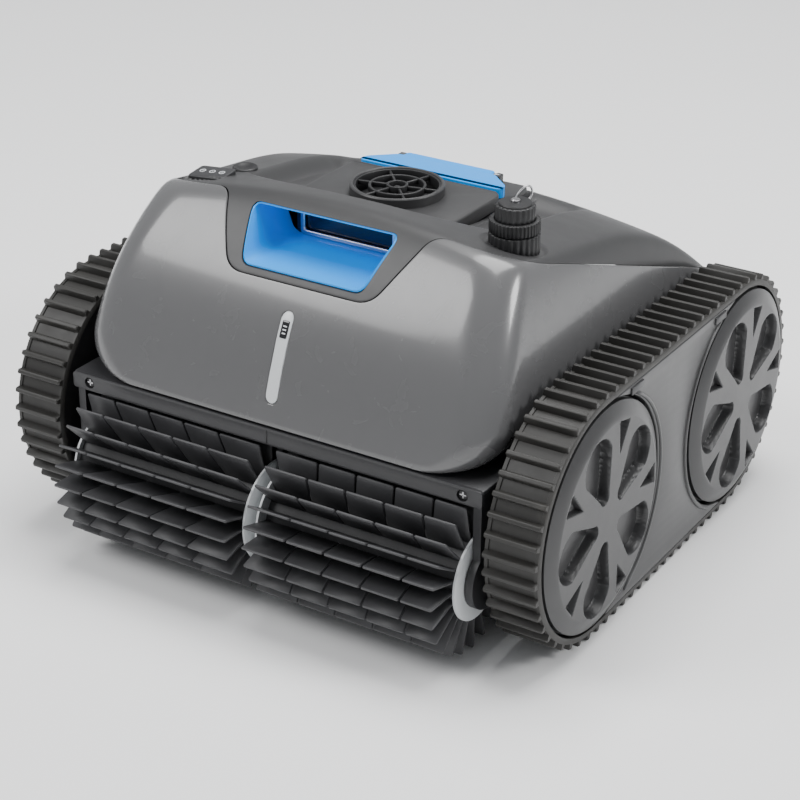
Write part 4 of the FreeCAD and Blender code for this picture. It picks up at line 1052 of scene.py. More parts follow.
    def stadium(self, half: float, low: float, high: float, steps: int = 16) -> list[tuple[float, float]]:
        """Outline of an upright bar with round ends.

        Args:
            half: Half of the width.
            low: Lower end.
            high: Upper end.
            steps: Segments in each end.

        Returns:
            Points across and up.
        """
        outline = []
        for centre, start in ((high - half, 0.0), (low + half, math.pi)):
            for step in range(steps + 1):
                angle = start + math.pi * step / steps
                outline.append((half * math.cos(angle), centre + half * math.sin(angle)))
        return outline

    def build(self) -> None:
        """Make the shell, the light bar and the display, and set them on the chassis."""
        half, low, high = self.LIGHT
        shell = self.skin()
        gap = self.LIGHT_GAP
        outline = self.stadium(half + gap, low - gap, high + gap)
        cutter = slab("light_cutter", outline, lambda u, v, w: self.datum.at(u, -230.0 + w / MM, v), 0.17,
                      self.paint["black_plastic"], 0.0)
        shell = carve(shell, cutter)
        finish(shell, "body_shell_skin", "chassis", "shell_grey", "body_shell")
        bar = self.patch("light_bar_lens", self.stadium(half, low, high), 0.25, -2.4,
                         self.paint["pale_plastic"], 0.6)
        finish(bar, "light_bar_lens", "chassis", "pale_plastic", "light_bar")
        wide, bottom, top = self.DISPLAY
        display = self.patch("display_face", rounded_outline(wide, bottom, top, 0.8), 0.55, -1.0,
                             self.paint["display_glass"], 0.25)
        marks = [self.patch("digit", rounded_outline(1.5, level, level + 0.8, 0.3), 0.62, 0.3,
                            self.paint["icon_white"], 0.05) for level in self.MARKS]
        finish(join("display_face", [display, *marks]), "display_face", "chassis", "dark_window",
               "display_window")


def thicken(thing: bpy.types.Object, wall: float, edge: float) -> bpy.types.Object:
    """Give an open skin a wall on its inner side and round its rims.

    Args:
        thing: Open mesh with its normals outwards.
        wall: Wall thickness.
        edge: Width of the rim rounding.

    Returns:
        The same object as a closed mesh.
    """
    solid = thing.modifiers.new("wall", "SOLIDIFY")
    solid.thickness = wall
    solid.offset = -1.0
    solid.use_even_offset = False
    return bevelled(settle(thing), edge, 2, 60.0)


def finish(thing: bpy.types.Object, name: str, body: str, slot: str, *nodes: str) -> bpy.types.Object:
    """Name a finished piece, set it on its body and say what it stands for.

    Args:
        thing: The piece.
        name: Its name.
        body: CAD body that it rides on.
        slot: Material slot of the record; not used.
        *nodes: CAD nodes that it replaces.

    Returns:
        The same piece.
    """
    thing.name = name
    thing.data.name = name
    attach(thing, body)
    if nodes:
        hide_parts(*nodes)
    LOG.info("%s: %d faces on %s, for %s", name, len(thing.data.polygons), body,
             ", ".join(nodes) or "no node")
    return thing


class Deck:
    """Satin deck with its grip bar, valleys and hatch opening, and the blue scoop under the bar."""

    ROWS = 96
    WALL = 2.4
    VALLEY = 12.0
    HATCH = ((0.0, -2.0), (65.2, 61.2), 5.0)
    GRIP_LOW = (49.0, 227.5)
    GRIP_HIGH = (60.0, 262.0)
    GRIP_BACK = -84.0
    GRIP_CORNER = 6.5
    HALVINGS = 30
    BAR_BACK = -79.0
    WING = 92.0
    TAIL = 20.0
    EDGE = 0.4
    PORT = (122.0, -72.0)
    PORT_SEAT = (20.0, 1.6)
    RECESS = ((-123.5, -93.0), (15.0, 6.5), 3.0)
    RECESS_DEPTH = 5.0
    GROOVE = (3.5, 0.8)
    LOOP = 96
    SCOOP_ROWS = 14
    SCOOP_WALL = 1.2
    CUT_FRONT = -260.0

    def __init__(self, shell: BodyShell) -> None:
        """Keep the shell that the deck sits in.

        Args:
            shell: The body shell.
        """
        self.shell = shell
        self.hull = shell.hull
        self.datum = shell.datum
        self.paint = shell.paint

    def relief(self, x: Array, y: Array) -> Array:
        """Depth of the deck's relief below the outer form.

        Args:
            x: Places across.
            y: Places along.

        Returns:
            Depths in mm.
        """
        side = np.abs(x)
        bar_back = self.BAR_BACK + 22.0 * (side / 105.0) ** 3
        behind_bar = 1.0 - bump(y - bar_back, 5.0)
        inside_wing = bump(side - self.WING, 16.0)
        before_tail = bump(y - (self.TAIL + 0.25 * side), 34.0)
        valley = self.VALLEY * behind_bar * inside_wing * before_tail
        recess = self.RECESS_DEPTH * bump(box_distance(x, y, *self.RECESS), 2.0)
        seat_radius, seat_depth = self.PORT_SEAT
        port = np.hypot(x - self.PORT[0], y - self.PORT[1]) - seat_radius
        seat = seat_depth * bump(port, 2.5)
        groove_out, groove_depth = self.GROOVE
        groove = groove_depth * bump(np.abs(box_distance(x, y, *self.HATCH) - groove_out), 1.0)
        return self.EDGE + valley + recess + seat + groove

    def grip_outline(self, growth: float, corner: float, lift: float = 0.0) -> list[tuple[float, float]]:
        """Outline of the grip opening, wider at the top.

        Args:
            growth: How far the outline is grown.
            corner: Length of the corner roundings.
            lift: How far the lower edge is raised.

        Returns:
            Points across and up.
        """
        (low_x, low_z), (high_x, high_z) = self.GRIP_LOW, self.GRIP_HIGH
        low = (low_x + growth, 0.0, low_z - growth + lift)
        high = (high_x + growth, 0.0, high_z + growth)
        corners = [low, high, (-high[0], 0.0, high[2]), (-low[0], 0.0, low[2])]
        line = resample(rounded_path(corners, [corner] * 4), self.LOOP)
        return [(float(x), float(z)) for x, _, z in line]

    def skin(self) -> bpy.types.Object:
        """Build the deck between the parting line and the hatch.

        Returns:
            The deck as a closed mesh.
        """
        rim = self.shell.rim(-0.1)
        (_, centre_y), (half_x, half_y), corner = self.HATCH
        middle = np.array((0.0, centre_y))
        ways = rim[:, :2] - middle
        low, high = np.zeros(len(rim)), np.ones(len(rim))
        for _ in range(self.HALVINGS):
            share = (low + high) / 2
            spot = middle + ways * share[:, None]
            inside = box_distance(spot[:, 0], spot[:, 1], (0.0, centre_y), (half_x, half_y), corner) < 0
            low, high = np.where(inside, share, low), np.where(inside, high, share)
        inner = middle + ways * high[:, None]
        rows = []
        for share in np.linspace(0.0, 1.0, self.ROWS):
            plan = rim[:, :2] * (1 - share) + inner * share
            across, along = plan[:, 0], plan[:, 1]
            height = self.hull.height(across, along) - self.relief(across, along)
            if share == 0.0:
                height = rim[:, 2] - self.EDGE
            rows.append(np.column_stack((plan, height)))
        points = self.datum.frame(np.concatenate(rows))
        deck = mesh_object("deck_skin", points, grid_faces(self.ROWS, BodyShell.COLUMNS),
                           self.paint["deck_satin"])
        return thicken(deck, self.WALL * MM, 0.4 * MM)

    def scoop(self) -> bpy.types.Object:
        """Build the blue scoop: an open trapezoid tunnel that ends at the window.

        Returns:
            The scoop as a closed mesh.
        """
        rows = []
        for share in np.linspace(0.0, 1.0, self.SCOOP_ROWS):
            lift = 2.0 * float(np.clip((share - 0.45) / 0.4, 0.0, 1.0)) ** 1.5
            outline = np.array(self.grip_outline(-0.5 - share, self.GRIP_CORNER, lift))
            start = self.hull.face(outline[:, 0], outline[:, 1]) + 1.4
            along = start * (1 - share) + self.GRIP_BACK * share
            rows.append(np.stack((outline[:, 0], np.minimum(along, self.GRIP_BACK), outline[:, 1]), -1))
        points = self.datum.frame(np.concatenate(rows))
        scoop = mesh_object("scoop", points, grid_faces(len(rows), self.LOOP),
                            self.paint["blue_gloss"])
        solid = scoop.modifiers.new("wall", "SOLIDIFY")
        solid.thickness = self.SCOOP_WALL * MM
        solid.offset = 1.0
        settle(scoop)
        return sharpen(outward(scoop), 40.0)

    def window(self) -> None:
        """Make the dark window and the bright frame at the scoop's back."""
        datum, back = self.datum, self.GRIP_BACK
        glass = slab("window", rounded_outline(44.0, 231.0, 259.0, 3.0),
                     lambda u, v, w: datum.at(u, back - 0.6 + w / MM, v), 1.6 * MM,
                     self.paint["display_glass"], 0.3 * MM)
        finish(glass, "chamber_glass", "chassis", "dark_window", "chamber_window")
        outer = slab("frame", rounded_outline(39.5, 232.5, 257.5, 3.0),
                     lambda u, v, w: datum.at(u, back - 3.4 + w / MM, v), 2.6 * MM,
                     self.paint["bright_trim"], 0.0)
        hole = slab("hole", rounded_outline(35.8, 236.0, 254.5, 2.0),
                    lambda u, v, w: datum.at(u, back - 9.0 + w / MM, v), 20 * MM,
                    self.paint["bright_trim"], 0.0)
        frame_ring = bevelled(carve(outer, hole), 0.7 * MM, 2)
        finish(frame_ring, "window_trim", "chassis", "bright_trim", "window_frame")

    def build(self) -> None:
        """Make the deck, the scoop and the window."""
        deck = self.skin()
        cutter = slab("grip_cutter", self.grip_outline(0.0, self.GRIP_CORNER),
                      lambda u, v, w: self.datum.at(u, self.CUT_FRONT + w / MM, v),
                      (self.GRIP_BACK + 1.0 - self.CUT_FRONT) * MM, self.paint["deck_satin"], 0.0)
        deck = sharpen(carve(deck, cutter), 40.0)
        finish(deck, "deck_skin", "chassis", "deck_grey", "top_deck")
        finish(self.scoop(), "scoop_tunnel", "chassis", "blue_plastic", "grip_scoop")
        self.window()


class Filter:
    """Lift-out filter: cover plate, round grille and blue handle."""

    GRILLE = (0.0, -23.0)
    RADIUS = 34.0
    TOP = 256.5
    BOTTOM = 240.0
    HALF = 63.5
    FRONT = -61.5
    BACK = 57.5
    CORNER = 6.0
    DROOP = 6.0
    RECESS = 243.0
    RECESS_FRONT = 15.5
    LEDGE = 8.0
    LUGS = (38.8, -43.8)
    LUG_WIDTH = 5.0
    PIN = (50.0, 247.7)
    PIN_HALF = 43.0
    SPOKES = 6
    SPOKE = (0.0070, 0.0305, 0.0009)
    SPOKE_TURN = 12.0
    RINGS = ((29.6, 31.4, 250.0, 257.2), (18.6, 20.8, 252.5, 257.0), (5.8, 8.0, 252.5, 257.4),
             (0.02, 2.4, 251.5, 255.5))
    SHADE_DISC = (29.9, 244.0, 245.5)
    GRIP_FLOOR = 244.2
    GRIP_WALL = 7.0

    def __init__(self, datum: Datum, paint: Paint) -> None:
        """Keep the sizes and finishes.

        Args:
            datum: Sizes of the frame.
            paint: Every material.
        """
        self.datum = datum
        self.paint = paint

    def cover(self) -> bpy.types.Object:
        """Plate round the grille with the lower shelf behind it.

        Returns:
            The cover as one mesh.
        """
        datum, paint = self.datum, self.paint

        def crowned(u: float, v: float, w: float) -> Vector:
            """Place on the plate, whose top droops towards its sides."""
            return datum.at(u, v, self.BOTTOM + w / MM - self.DROOP * abs(u / self.HALF) ** 3 * (w > 0))

        plate = slab("plate", rounded_outline(self.HALF, self.FRONT, self.RECESS_FRONT, self.CORNER), crowned,
                     (self.TOP - self.BOTTOM) * MM, paint["deck_satin"], 1.2 * MM, 3)
        ledge = slab("ledge", rounded_outline(self.HALF, self.RECESS_FRONT - self.CORNER, self.BACK,
                                              self.CORNER),
                     lambda u, v, w: datum.at(u, v, self.RECESS - self.LEDGE + w / MM), self.LEDGE * MM,
                     paint["deck_satin"], 1.0 * MM, 2)
        bore = lathe("bore", [(0.01, 200.0), (self.RADIUS, 200.0), (self.RADIUS, 300.0), (0.01, 300.0)],
                     Vector((0, 0, 0)), "z", paint["deck_satin"])
        for vertex in bore.data.vertices:
            vertex.co = datum.at(vertex.co.x + self.GRILLE[0], vertex.co.y + self.GRILLE[1], vertex.co.z)
        plate = bevelled(carve(plate, bore), 0.5 * MM, 2, 60.0)
        lugs = [block("lug", datum.at(x, 46.5, self.RECESS - 1),
                      datum.at(x + self.LUG_WIDTH, 53.5, 250.0), paint["deck_satin"]) for x in self.LUGS]
        pin = wire("pin", [datum.at(x, *self.PIN) for x in (-self.PIN_HALF, 0.0, self.PIN_HALF)], 2.5 * MM,
                   paint["bare_steel"])
        return join("cover", [plate, ledge, *lugs, pin])

    def grille(self) -> bpy.types.Object:
        """Round grille: rim, middle ring, hub and six spokes over a black disc that paints the shade inside
        the outlet.

        Returns:
            The grille as one mesh.
        """
        datum, paint = self.datum, self.paint
        centre = datum.at(*self.GRILLE, 0.0)

        def ring(inner: float, outer: float, low: float, high: float) -> bpy.types.Object:
            """Ring with rounded top edges."""
            soft = min(0.9, (outer - inner) / 3)
            chamfer = soft * 0.3
            profile = [(inner, low), (outer, low), (outer, high - soft), (outer - chamfer, high - chamfer),
                       (outer - soft, high), (inner + soft, high), (inner + chamfer, high - chamfer),
                       (inner, high - soft)]
            return lathe("ring", [(radius * MM, level * MM) for radius, level in profile], centre, "z",
                         paint["black_plastic"])

        parts = [ring(*sizes) for sizes in self.RINGS]
        near, far, half = self.SPOKE
        for number in range(self.SPOKES):
            turn = math.radians(360 / self.SPOKES * number + self.SPOKE_TURN)
            bar = block("spoke", (near, -half, 0.2530), (far, half, 0.2566), paint["black_plastic"], 0.0005)
            bar.data.transform(Matrix.Translation(centre) @ Matrix.Rotation(turn, 4, "Z"))
            parts.append(bar)
        # a thin black disc closes the bore under the grille and paints the shade inside the outlet
        reach, low, high = self.SHADE_DISC
        places = [(0.1, low), (reach, low), (reach, high), (0.1, high)]
        well = lathe("well", [(radius * MM, level * MM) for radius, level in places], centre, "z",
                     paint["black_plastic"])
        places = [(31.0, 250.0), (self.RADIUS, 250.0), (self.RADIUS, 257.2), (33.4, 258.0), (32.4, 258.3),
                  (31.5, 258.0), (31.0, 257.0)]
        lip = lathe("lip", [(radius * MM, level * MM) for radius, level in places], centre, "z",
                    paint["deck_satin"], 96)
        return join("grille", [*parts, well, lip])

    def handle(self) -> bpy.types.Object:
        """Blue slab handle with a soft front lip and cut back corners.

        Returns:
            The handle.
        """
        datum = self.datum
        corners = [(-60, 20, 0), (60, 20, 0), (60, 28, 0), (41, 45.2, 0), (-41, 45.2, 0), (-60, 28, 0)]
        line = rounded_path(corners, [5, 5, 5, 3, 3, 5])
        grip = slab("grip", [(x, y) for x, y, _ in line],
                    lambda u, v, w: datum.at(u, v, self.GRIP_FLOOR + w / MM), self.GRIP_WALL * MM,
                    self.paint["blue_gloss"], 1.4 * MM, 4)
        knuckle = slab("knuckle", rounded_outline(37.8, 42.0, 53.3, 3.0),
                       lambda u, v, w: datum.at(u, v, 244.3 + w / MM), 6.8 * MM, self.paint["blue_gloss"],
                       1.6 * MM, 3)
        return join("handle", [grip, knuckle])

    def build(self) -> None:
        """Make the cover, the grille and the handle."""
        finish(self.cover(), "filter_plate", "filter", "deck_grey", "filter_cover")
        finish(self.grille(), "outlet_guard", "filter", "dark_plastic", "outlet_grille")
        finish(self.handle(), "handle_slab", "filter_handle", "blue_plastic", "filter_handle")


class Controls:
    """Icon panel, power button and capped charging port on the deck's wings."""

    PORT = Deck.PORT
    PANEL = (-123.5, -76.0)
    PANEL_HALF = (15.5, 9.5)
    PANEL_WALL = 5.0
    PANEL_SUNK = 3.2
    LEAN = 0.10
    SYMBOLS = ((-8.5, 1.1), (0.0, 0.5), (8.5, 1.1))
    SYMBOL_RADIUS = 2.1
    RIBS_PER_RING = (26, 40, 22)
    WIRE = 0.7

    def __init__(self, hull: Hull, paint: Paint) -> None:
        """Keep the form and finishes.

        Args:
            hull: Outer form of the body.
            paint: Every material.
        """
        self.hull = hull
        self.datum = hull.datum
        self.paint = paint

    def panel(self) -> bpy.types.Object:
        """Tilted dark panel with three small pale symbols.

        Returns:
            The panel as one mesh.
        """
        datum, paint = self.datum, self.paint
        centre_x, centre_y = self.PANEL
        half_x, half_y = self.PANEL_HALF
        base = float(self.hull.height(centre_x, centre_y))

        def spot(u: float, v: float, w: float) -> Vector:
            """Place on the panel, which leans a little to the front."""
            height = base - self.PANEL_SUNK + w / MM + self.LEAN * v + self.LEAN * u
            return datum.at(centre_x + u, centre_y + v, height)

        plate = slab("plate", rounded_outline(half_x, -half_y, half_y, 3.0), spot, self.PANEL_WALL * MM,
                     paint["dark_plastic"], 0.9 * MM, 3)
        parts = [plate]
        for across, reach in self.SYMBOLS:
            ring = [(across + self.SYMBOL_RADIUS * math.cos(a), 0.5 + self.SYMBOL_RADIUS * math.sin(a))
                    for a in np.linspace(0, 2 * math.pi, 24, endpoint=False)]
            parts.append(wire("symbol", [spot(u, v, 5.02 * MM) for u, v in ring], 0.28 * MM,
                              paint["icon_white"], True, 3))
            corners = ((across - reach, 0.5), (across, 0.5 + reach), (across + reach, 0.5))
            parts.append(wire("mark", [spot(u, v, 5.03 * MM) for u, v in corners], 0.26 * MM,
                              paint["icon_white"], False, 4))
        return join("panel", parts)

    def button(self) -> bpy.types.Object:
        """Round black button with a shallow dish.

        Returns:
            The button.
        """
        low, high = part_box("power_button")
        centre = Vector(((low.x + high.x) / 2, (low.y + high.y) / 2, 0.0))
        radius, top = (high.x - low.x) / 2, high.z
        profile = [(0.0001, low.z), (radius, low.z), (radius, top - 0.0012), (radius - 0.0004, top - 0.0004),
                   (radius - 0.0012, top), (radius * 0.62, top - 0.0005), (radius * 0.55, top - 0.0009),
                   (0.0001, top - 0.0012)]
        return lathe("button", profile, centre, "z", self.paint["black_plastic"])

    def toothed(self, name: str, low: float, high: float, radius: float, depth: float, teeth: int,
                inner: float) -> bpy.types.Object:
        """Ring with upright ribs round its outside and rounded ends.

        Args:
            name: Piece name.
            low: Lower end in mm.
            high: Upper end in mm.
            radius: Radius over the ribs in mm.
            depth: Depth between the ribs in mm.
            teeth: Number of ribs.
            inner: Radius of the bore in mm, or nearly zero.

        Returns:
            The ring.
        """
        steps = teeth * 8
        turn = np.linspace(0, 2 * math.pi, steps, endpoint=False)
        wave = np.clip(np.cos(teeth * turn) * 1.6, -1, 1) * 0.5 + 0.5
        rows = []
        edge = min(1.0, (high - low) / 6)
        levels = ((low, edge), (low + edge * 0.4, edge * 0.3), (low + edge, 0.0), (high - edge, 0.0),
                  (high - edge * 0.4, edge * 0.3), (high, edge))
        for level, shrink in levels:
            reach = radius - shrink - depth * (1 - wave)
            rows.append(np.stack((self.PORT[0] + reach * np.cos(turn), self.PORT[1] + reach * np.sin(turn),
                                  np.full(steps, level)), -1))
        for level in (high, low):
            rows.append(np.stack((self.PORT[0] + inner * np.cos(turn), self.PORT[1] + inner * np.sin(turn),
                                  np.full(steps, level)), -1))
        points = self.datum.frame(np.concatenate(rows + rows[:1]))
        shape = bmesh.new()
        vertices = [shape.verts.new(point) for point in points]
        for face in grid_faces(len(rows) + 1, steps):
            shape.faces.new([vertices[number] for number in face])
        bmesh.ops.remove_doubles(shape, verts=shape.verts, dist=2e-6)
        return sharpen(object_from_bmesh(name, shape, self.paint["black_plastic"]), 45.0)

    def tether(self) -> bpy.types.Object:
        """Thin wire loop that stands behind the cap's boss.

        Returns:
            The wire.
        """
        x, y = self.PORT
        path = [(x - 2.5, y + 3.2, 284.6), (x - 1.0, y + 4.5, 289.0), (x + 1.5, y + 8.5, 293.3),
                (x + 3.5, y + 13.0, 293.0), (x + 4.0, y + 16.0, 288.5), (x + 3.0, y + 15.5, 283.5),
                (x + 1.0, y + 11.2, 280.0), (x, y + 10.2, 277.0)]
        return wire("tether", [self.datum.at(*place) for place in path], self.WIRE * MM,
                    self.paint["bare_steel"], False, 8)

    def build(self) -> None:
        """Make every control and the parts of the port."""
        finish(self.panel(), "mode_keys", "chassis", "dark_plastic", "mode_panel")
        finish(self.button(), "power_key", "power_button", "dark_plastic", "power_button")
        collar_ribs, ring_ribs, cap_ribs = self.RIBS_PER_RING
        collar = self.toothed("collar", 241.0, 264.2, 17.4, 0.8, collar_ribs, 11.1)
        finish(collar, "port_collar", "chassis", "dark_plastic", "charge_port")
        ring = self.toothed("ring", 264.6, 273.6, 17.4, 0.9, ring_ribs, 14.2)
        finish(ring, "port_knurl", "port_ring", "dark_plastic", "port_ring")
        centre = self.datum.at(*self.PORT, 0.0)
        body = self.toothed("cap", 264.8, 283.6, 13.7, 0.7, cap_ribs, 0.05)
        places = [(0.05, 282.5), (11.4, 282.5), (11.4, 284.4), (10.8, 285.0), (3.6, 285.2), (0.05, 285.2)]
        lid = lathe("lid", [(radius * MM, level * MM) for radius, level in places], centre, "z",
                    self.paint["black_plastic"], 40)
        places = [(0.05, 284.5), (3.2, 284.5), (3.2, 286.4), (2.6, 287.0), (0.05, 287.0)]
        boss = lathe("boss", [(radius * MM, level * MM) for radius, level in places], centre, "z",
                     self.paint["bare_steel"], 24)
        finish(join("cap", [body, lid, boss]), "port_lid", "port_cap", "dark_plastic", "port_cap")
        finish(self.tether(), "tether_wire", "port_cap", "steel", "cap_tether")


# ---------------------------------------------------------------- running gear


class Track:
    """One side's cleated belt, its cover and its hub caps."""

    WIDTH = (175.0, 215.0)
    CLEATS = 74
    BAND = (83.9, 87.4)
    RAIL = 88.2
    LOOP = 240
    CLEAT_LOOP = 296
    BEND_STEPS = 48
    CLEAT = ((-2.9, -0.6), (-1.9, 3.6), (-1.5, 4.7), (-0.9, 5.05), (0.9, 5.05), (1.5, 4.7), (1.9, 3.6),
             (2.9, -0.6))
    CAP = (211.3, 221.0)
    CAP_RADIUS = 81.5
    CAP_EDGE = 70.5
    PETALS = 5
    CAP_STEPS = 540
    CAP_EYE = 0.3
    CAP_FACE = 79.0
    CAP_DOME = 0.6
    CAP_BEVEL = 4.6
    PETAL_TURN = 40.0
    NOTCH_TURN = 4.0
    PETAL_START = 22.0
    PETAL_LENGTH = 29.0
    PETAL_DEPTH = 7.8
    NOTCH_START = 49.0
    NOTCH_END = 68.0
    DRUM = ((0.05, 176.5), (83.0, 176.5), (83.0, 209.0), (82.2, 210.2), (80.6, 210.8), (0.05, 210.8))
    COVER_FACE = 209.0
    COVER_WALL = 6.4
    COVER_STEPS = 25
    BORDER_INSET = 3.2
    CLIP = ((58.0, -7.0, 5.9), (76.0, -1.5, 7.6))
    LEG = ((166.4, -7.0, -14.0), (209.5, 7.0, 14.0))
    COVER_HALF = 83.5
    COVER_RELIEF = 84.6
    COVER_TIP = 12.0

    def __init__(self, side: Side, datum: Datum, paint: Paint, repeat: PathRepeat) -> None:
        """Keep what every piece of the side needs.

        Args:
            side: Side of the machine.
            datum: Sizes of the frame.
            paint: Every material.
            repeat: Tree that stands the cleats round the belt.
        """
        self.side = side
        self.datum = datum
        self.paint = paint
        self.repeat = repeat

    def loop(self, radius: float, count: int = LOOP) -> Array:
        """Closed line at a radius round both wheels, in the middle plane of the machine.

        Args:
            radius: Distance from the line between the axles.
            count: Number of points.

        Returns:
            Places in mm.
        """
        base, level = self.datum.base, self.datum.axle
        ends = []
        for centre, start in ((base, -math.pi / 2), (-base, math.pi / 2)):
            for step in range(self.BEND_STEPS + 1):
                angle = start + math.pi * step / self.BEND_STEPS
                ends.append((0.0, centre + radius * math.cos(angle), level + radius * math.sin(angle)))
        return resample(np.array(ends), count)

    def belt(self) -> bpy.types.Object:
        """Band of the belt with its raised edges, and the cleats that stand on it.

        Returns:
            The belt as one mesh.
        """
        inner, outer = self.WIDTH
        low, high = self.BAND
        profile = [(inner, low), (inner, high), (inner + 0.6, self.RAIL), (inner + 3.0, self.RAIL),
                   (inner + 3.4, high), (outer - 3.4, high), (outer - 3.0, self.RAIL),
                   (outer - 0.6, self.RAIL), (outer, high), (outer, low)]
        rows = []
        for across, radius in profile + profile[:1]:
            line = self.loop(radius)
            line[:, 0] = across * self.side.value
            rows.append(line)
        points = self.datum.frame(np.concatenate(rows))
        shape = bmesh.new()
        vertices = [shape.verts.new(point) for point in points]
        for face in grid_faces(len(rows), self.LOOP):
            shape.faces.new([vertices[number] for number in face])
        bmesh.ops.remove_doubles(shape, verts=shape.verts, dist=1e-6)
        band = sharpen(object_from_bmesh("band", shape, self.paint["track_rubber"]), 40.0)
        return join("belt", [band, self.cleats()])

    def cleats(self) -> bpy.types.Object:
        """Stand one rib after another round the belt.

        Returns:
            Every cleat as one mesh.
        """
        inner, outer = self.WIDTH
        shape = bmesh.new()
        rows = []
        spread = ((inner + 0.5, 0.86), (inner + 1.3, 1.0), (outer - 1.3, 1.0), (outer - 0.5, 0.86))
        for across, share in spread:
            rows.append([shape.verts.new((across * self.side.value * MM, y * share * MM, z * share * MM))
                         for y, z in self.CLEAT])
        for first, second in zip(rows, rows[1:]):
            for number in range(len(self.CLEAT)):
                following = (number + 1) % len(self.CLEAT)
                shape.faces.new((first[number], first[following], second[following], second[number]))
        shape.faces.new(rows[0])
        shape.faces.new(rows[-1][::-1])
        template = sharpen(object_from_bmesh("cleat_template", shape, self.paint["track_rubber"]), 30.0)
        path = self.datum.frame(self.loop(self.BAND[1], self.CLEAT_LOOP))
        # along the path "up" points inwards, so the template is turned over to stand outwards
        template.data.transform(Matrix.Rotation(math.pi, 4, "X"))
        cleats = self.repeat.spread("cleats", path, template, self.CLEATS, self.paint["track_rubber"])
        bpy.data.objects.remove(template)
        return cleats

    def cap(self, end: End) -> bpy.types.Object:
        """Hub cap as a height field with soft petals and small notches.

        Args:
            end: End of the track.

        Returns:
            The cap as one closed mesh.
        """
        centre_y = self.datum.base * (1 if end is End.REAR else -1)
        radii = np.concatenate((np.linspace(self.CAP_EYE, self.CAP_FACE, 112),
                                np.linspace(self.CAP_FACE + 0.4, self.CAP_RADIUS, 8)))
        steps, share_turn = self.CAP_STEPS, 360 / self.PETALS
        turn = np.linspace(0, 2 * math.pi, steps, endpoint=False)
        radius, angle = np.meshgrid(radii, turn, indexing="ij")
        depth = np.zeros(radius.shape)
        notch = np.zeros(radius.shape)
        for number in range(self.PETALS):
            lean = math.radians(self.PETAL_TURN + share_turn * number)
            across = radius * np.sin(angle - lean)
            along = radius * np.cos(angle - lean)
            share = np.clip((along - self.PETAL_START) / self.PETAL_LENGTH, 0.0, 1.0)
            middle = self.PETAL_START + self.PETAL_LENGTH * share
            reach = np.hypot(across, along - middle) - (5.0 + 13.0 * share)
            depth = np.maximum(depth, bump(reach + 0.6, 1.9))
            lean = math.radians(self.NOTCH_TURN + share_turn * number)
            across = radius * np.sin(angle - lean)
            along = radius * np.cos(angle - lean)
            length = self.NOTCH_END - self.NOTCH_START
            wedge = np.maximum(np.abs(across) - 6.5 * (along - self.NOTCH_START) / length,
                               along - self.NOTCH_END)
            notch = np.maximum(notch, bump(wedge + 0.6, 1.8) * (along > 40.0))
        dome = self.CAP_DOME * (radius / self.CAP_RADIUS) ** 2
        edge = (radius - self.CAP_EDGE) / (self.CAP_RADIUS - self.CAP_EDGE)
        bevel = self.CAP_BEVEL * np.clip(edge, 0.0, 1.0) ** 1.25
        hollow = self.PETAL_DEPTH * np.maximum(depth, 0.6 * notch) * (1 - bevel / 9.0)
        face = self.CAP[1] - 0.3 - dome - bevel - hollow
        rows = [np.stack((face[row], radius[row] * np.cos(turn), radius[row] * np.sin(turn)), -1)
                for row in range(len(radii))]
        for reach in (self.CAP_RADIUS, self.CAP_EYE):
            rows.append(np.stack((np.full(steps, self.CAP[0]), reach * np.cos(turn), reach * np.sin(turn)),
                                 -1))
        flat = np.concatenate(rows)
        flat[:, 1] += centre_y
        flat[:, 2] += self.datum.axle
        flat[:, 0] *= self.side.value
        count = len(rows)
        faces = grid_faces(count, steps)
        faces.append(tuple(range(steps)))
        faces.append(tuple(reversed(range((count - 1) * steps, count * steps))))
        cap = mesh_object("cap", self.datum.frame(flat), faces, self.paint["cap_satin"])
        return sharpen(outward(cap), 50.0)

    def wheel(self, end: End) -> bpy.types.Object:
        """Black drum behind the cap, seen as the gap round it; its near-black finish also paints the shade in
        that gap.

        Args:
            end: End of the track.

        Returns:
            The drum.
        """
        centre = self.datum.at(0.0, self.datum.base * (1 if end is End.REAR else -1), self.datum.axle)
        # the near-black finish is partly the drum's own colour and partly painted shade for the gap round the
        # cap
        return lathe("drum", [(radius * MM, along * self.side.value * MM) for radius, along in self.DRUM],
                     centre, "x", self.paint["black_plastic"], 96)

    def cover(self) -> bpy.types.Object:
        """Waisted cover between the wheels with raised borders and dark clips.

        Returns:
            The cover as one mesh.
        """
        base, level = self.datum.base, self.datum.axle
        low, high = level - self.COVER_HALF, level + self.COVER_HALF
        outline = []
        for direction, start, stop in ((1, low, high), (-1, high, low)):
            for height in np.linspace(start, stop, self.COVER_STEPS):
                rise = height - level
                bite = math.sqrt(max(self.COVER_RELIEF ** 2 - rise ** 2, 0.0))
                outline.append((direction * min(base - bite, base - self.COVER_TIP), height))
        sign = self.side.value

        def outer(u: float, v: float, w: float) -> Vector:
            """Place on the cover; depth runs outwards."""
            return self.datum.at(sign * (self.COVER_FACE + w / MM), u, v)

        plate = slab("plate", outline, outer, self.COVER_WALL * MM, self.paint["cover_satin"], 1.0 * MM, 2)
        parts = [plate]
        for direction in (1, -1):
            border = [(u * 0.98 if abs(v - level) < 83 else u, v) for u, v in outline
                      if u * direction > 0]
            border.sort(key=lambda spot: spot[1])
            lines = [outer(u - direction * self.BORDER_INSET, v, 6.3 * MM) for u, v in border[1:-1]]
            parts.append(wire("border", lines, 1.5 * MM, self.paint["cover_satin"], False, 3))
            corners = [outer(direction * along, high + up, out * MM) for along, up, out in self.CLIP]
            low_corner, high_corner = sorted_pair(*corners)
            parts.append(block("clip", tuple(low_corner), tuple(high_corner), self.paint["dark_plastic"],
                               0.6 * MM))
        low_corner, high_corner = sorted_pair(*[self.datum.at(sign * x, y, level + up)
                                                for x, y, up in self.LEG])
        leg = block("leg", low_corner, high_corner, self.paint["dark_plastic"])
        return join("cover", [*parts, leg])

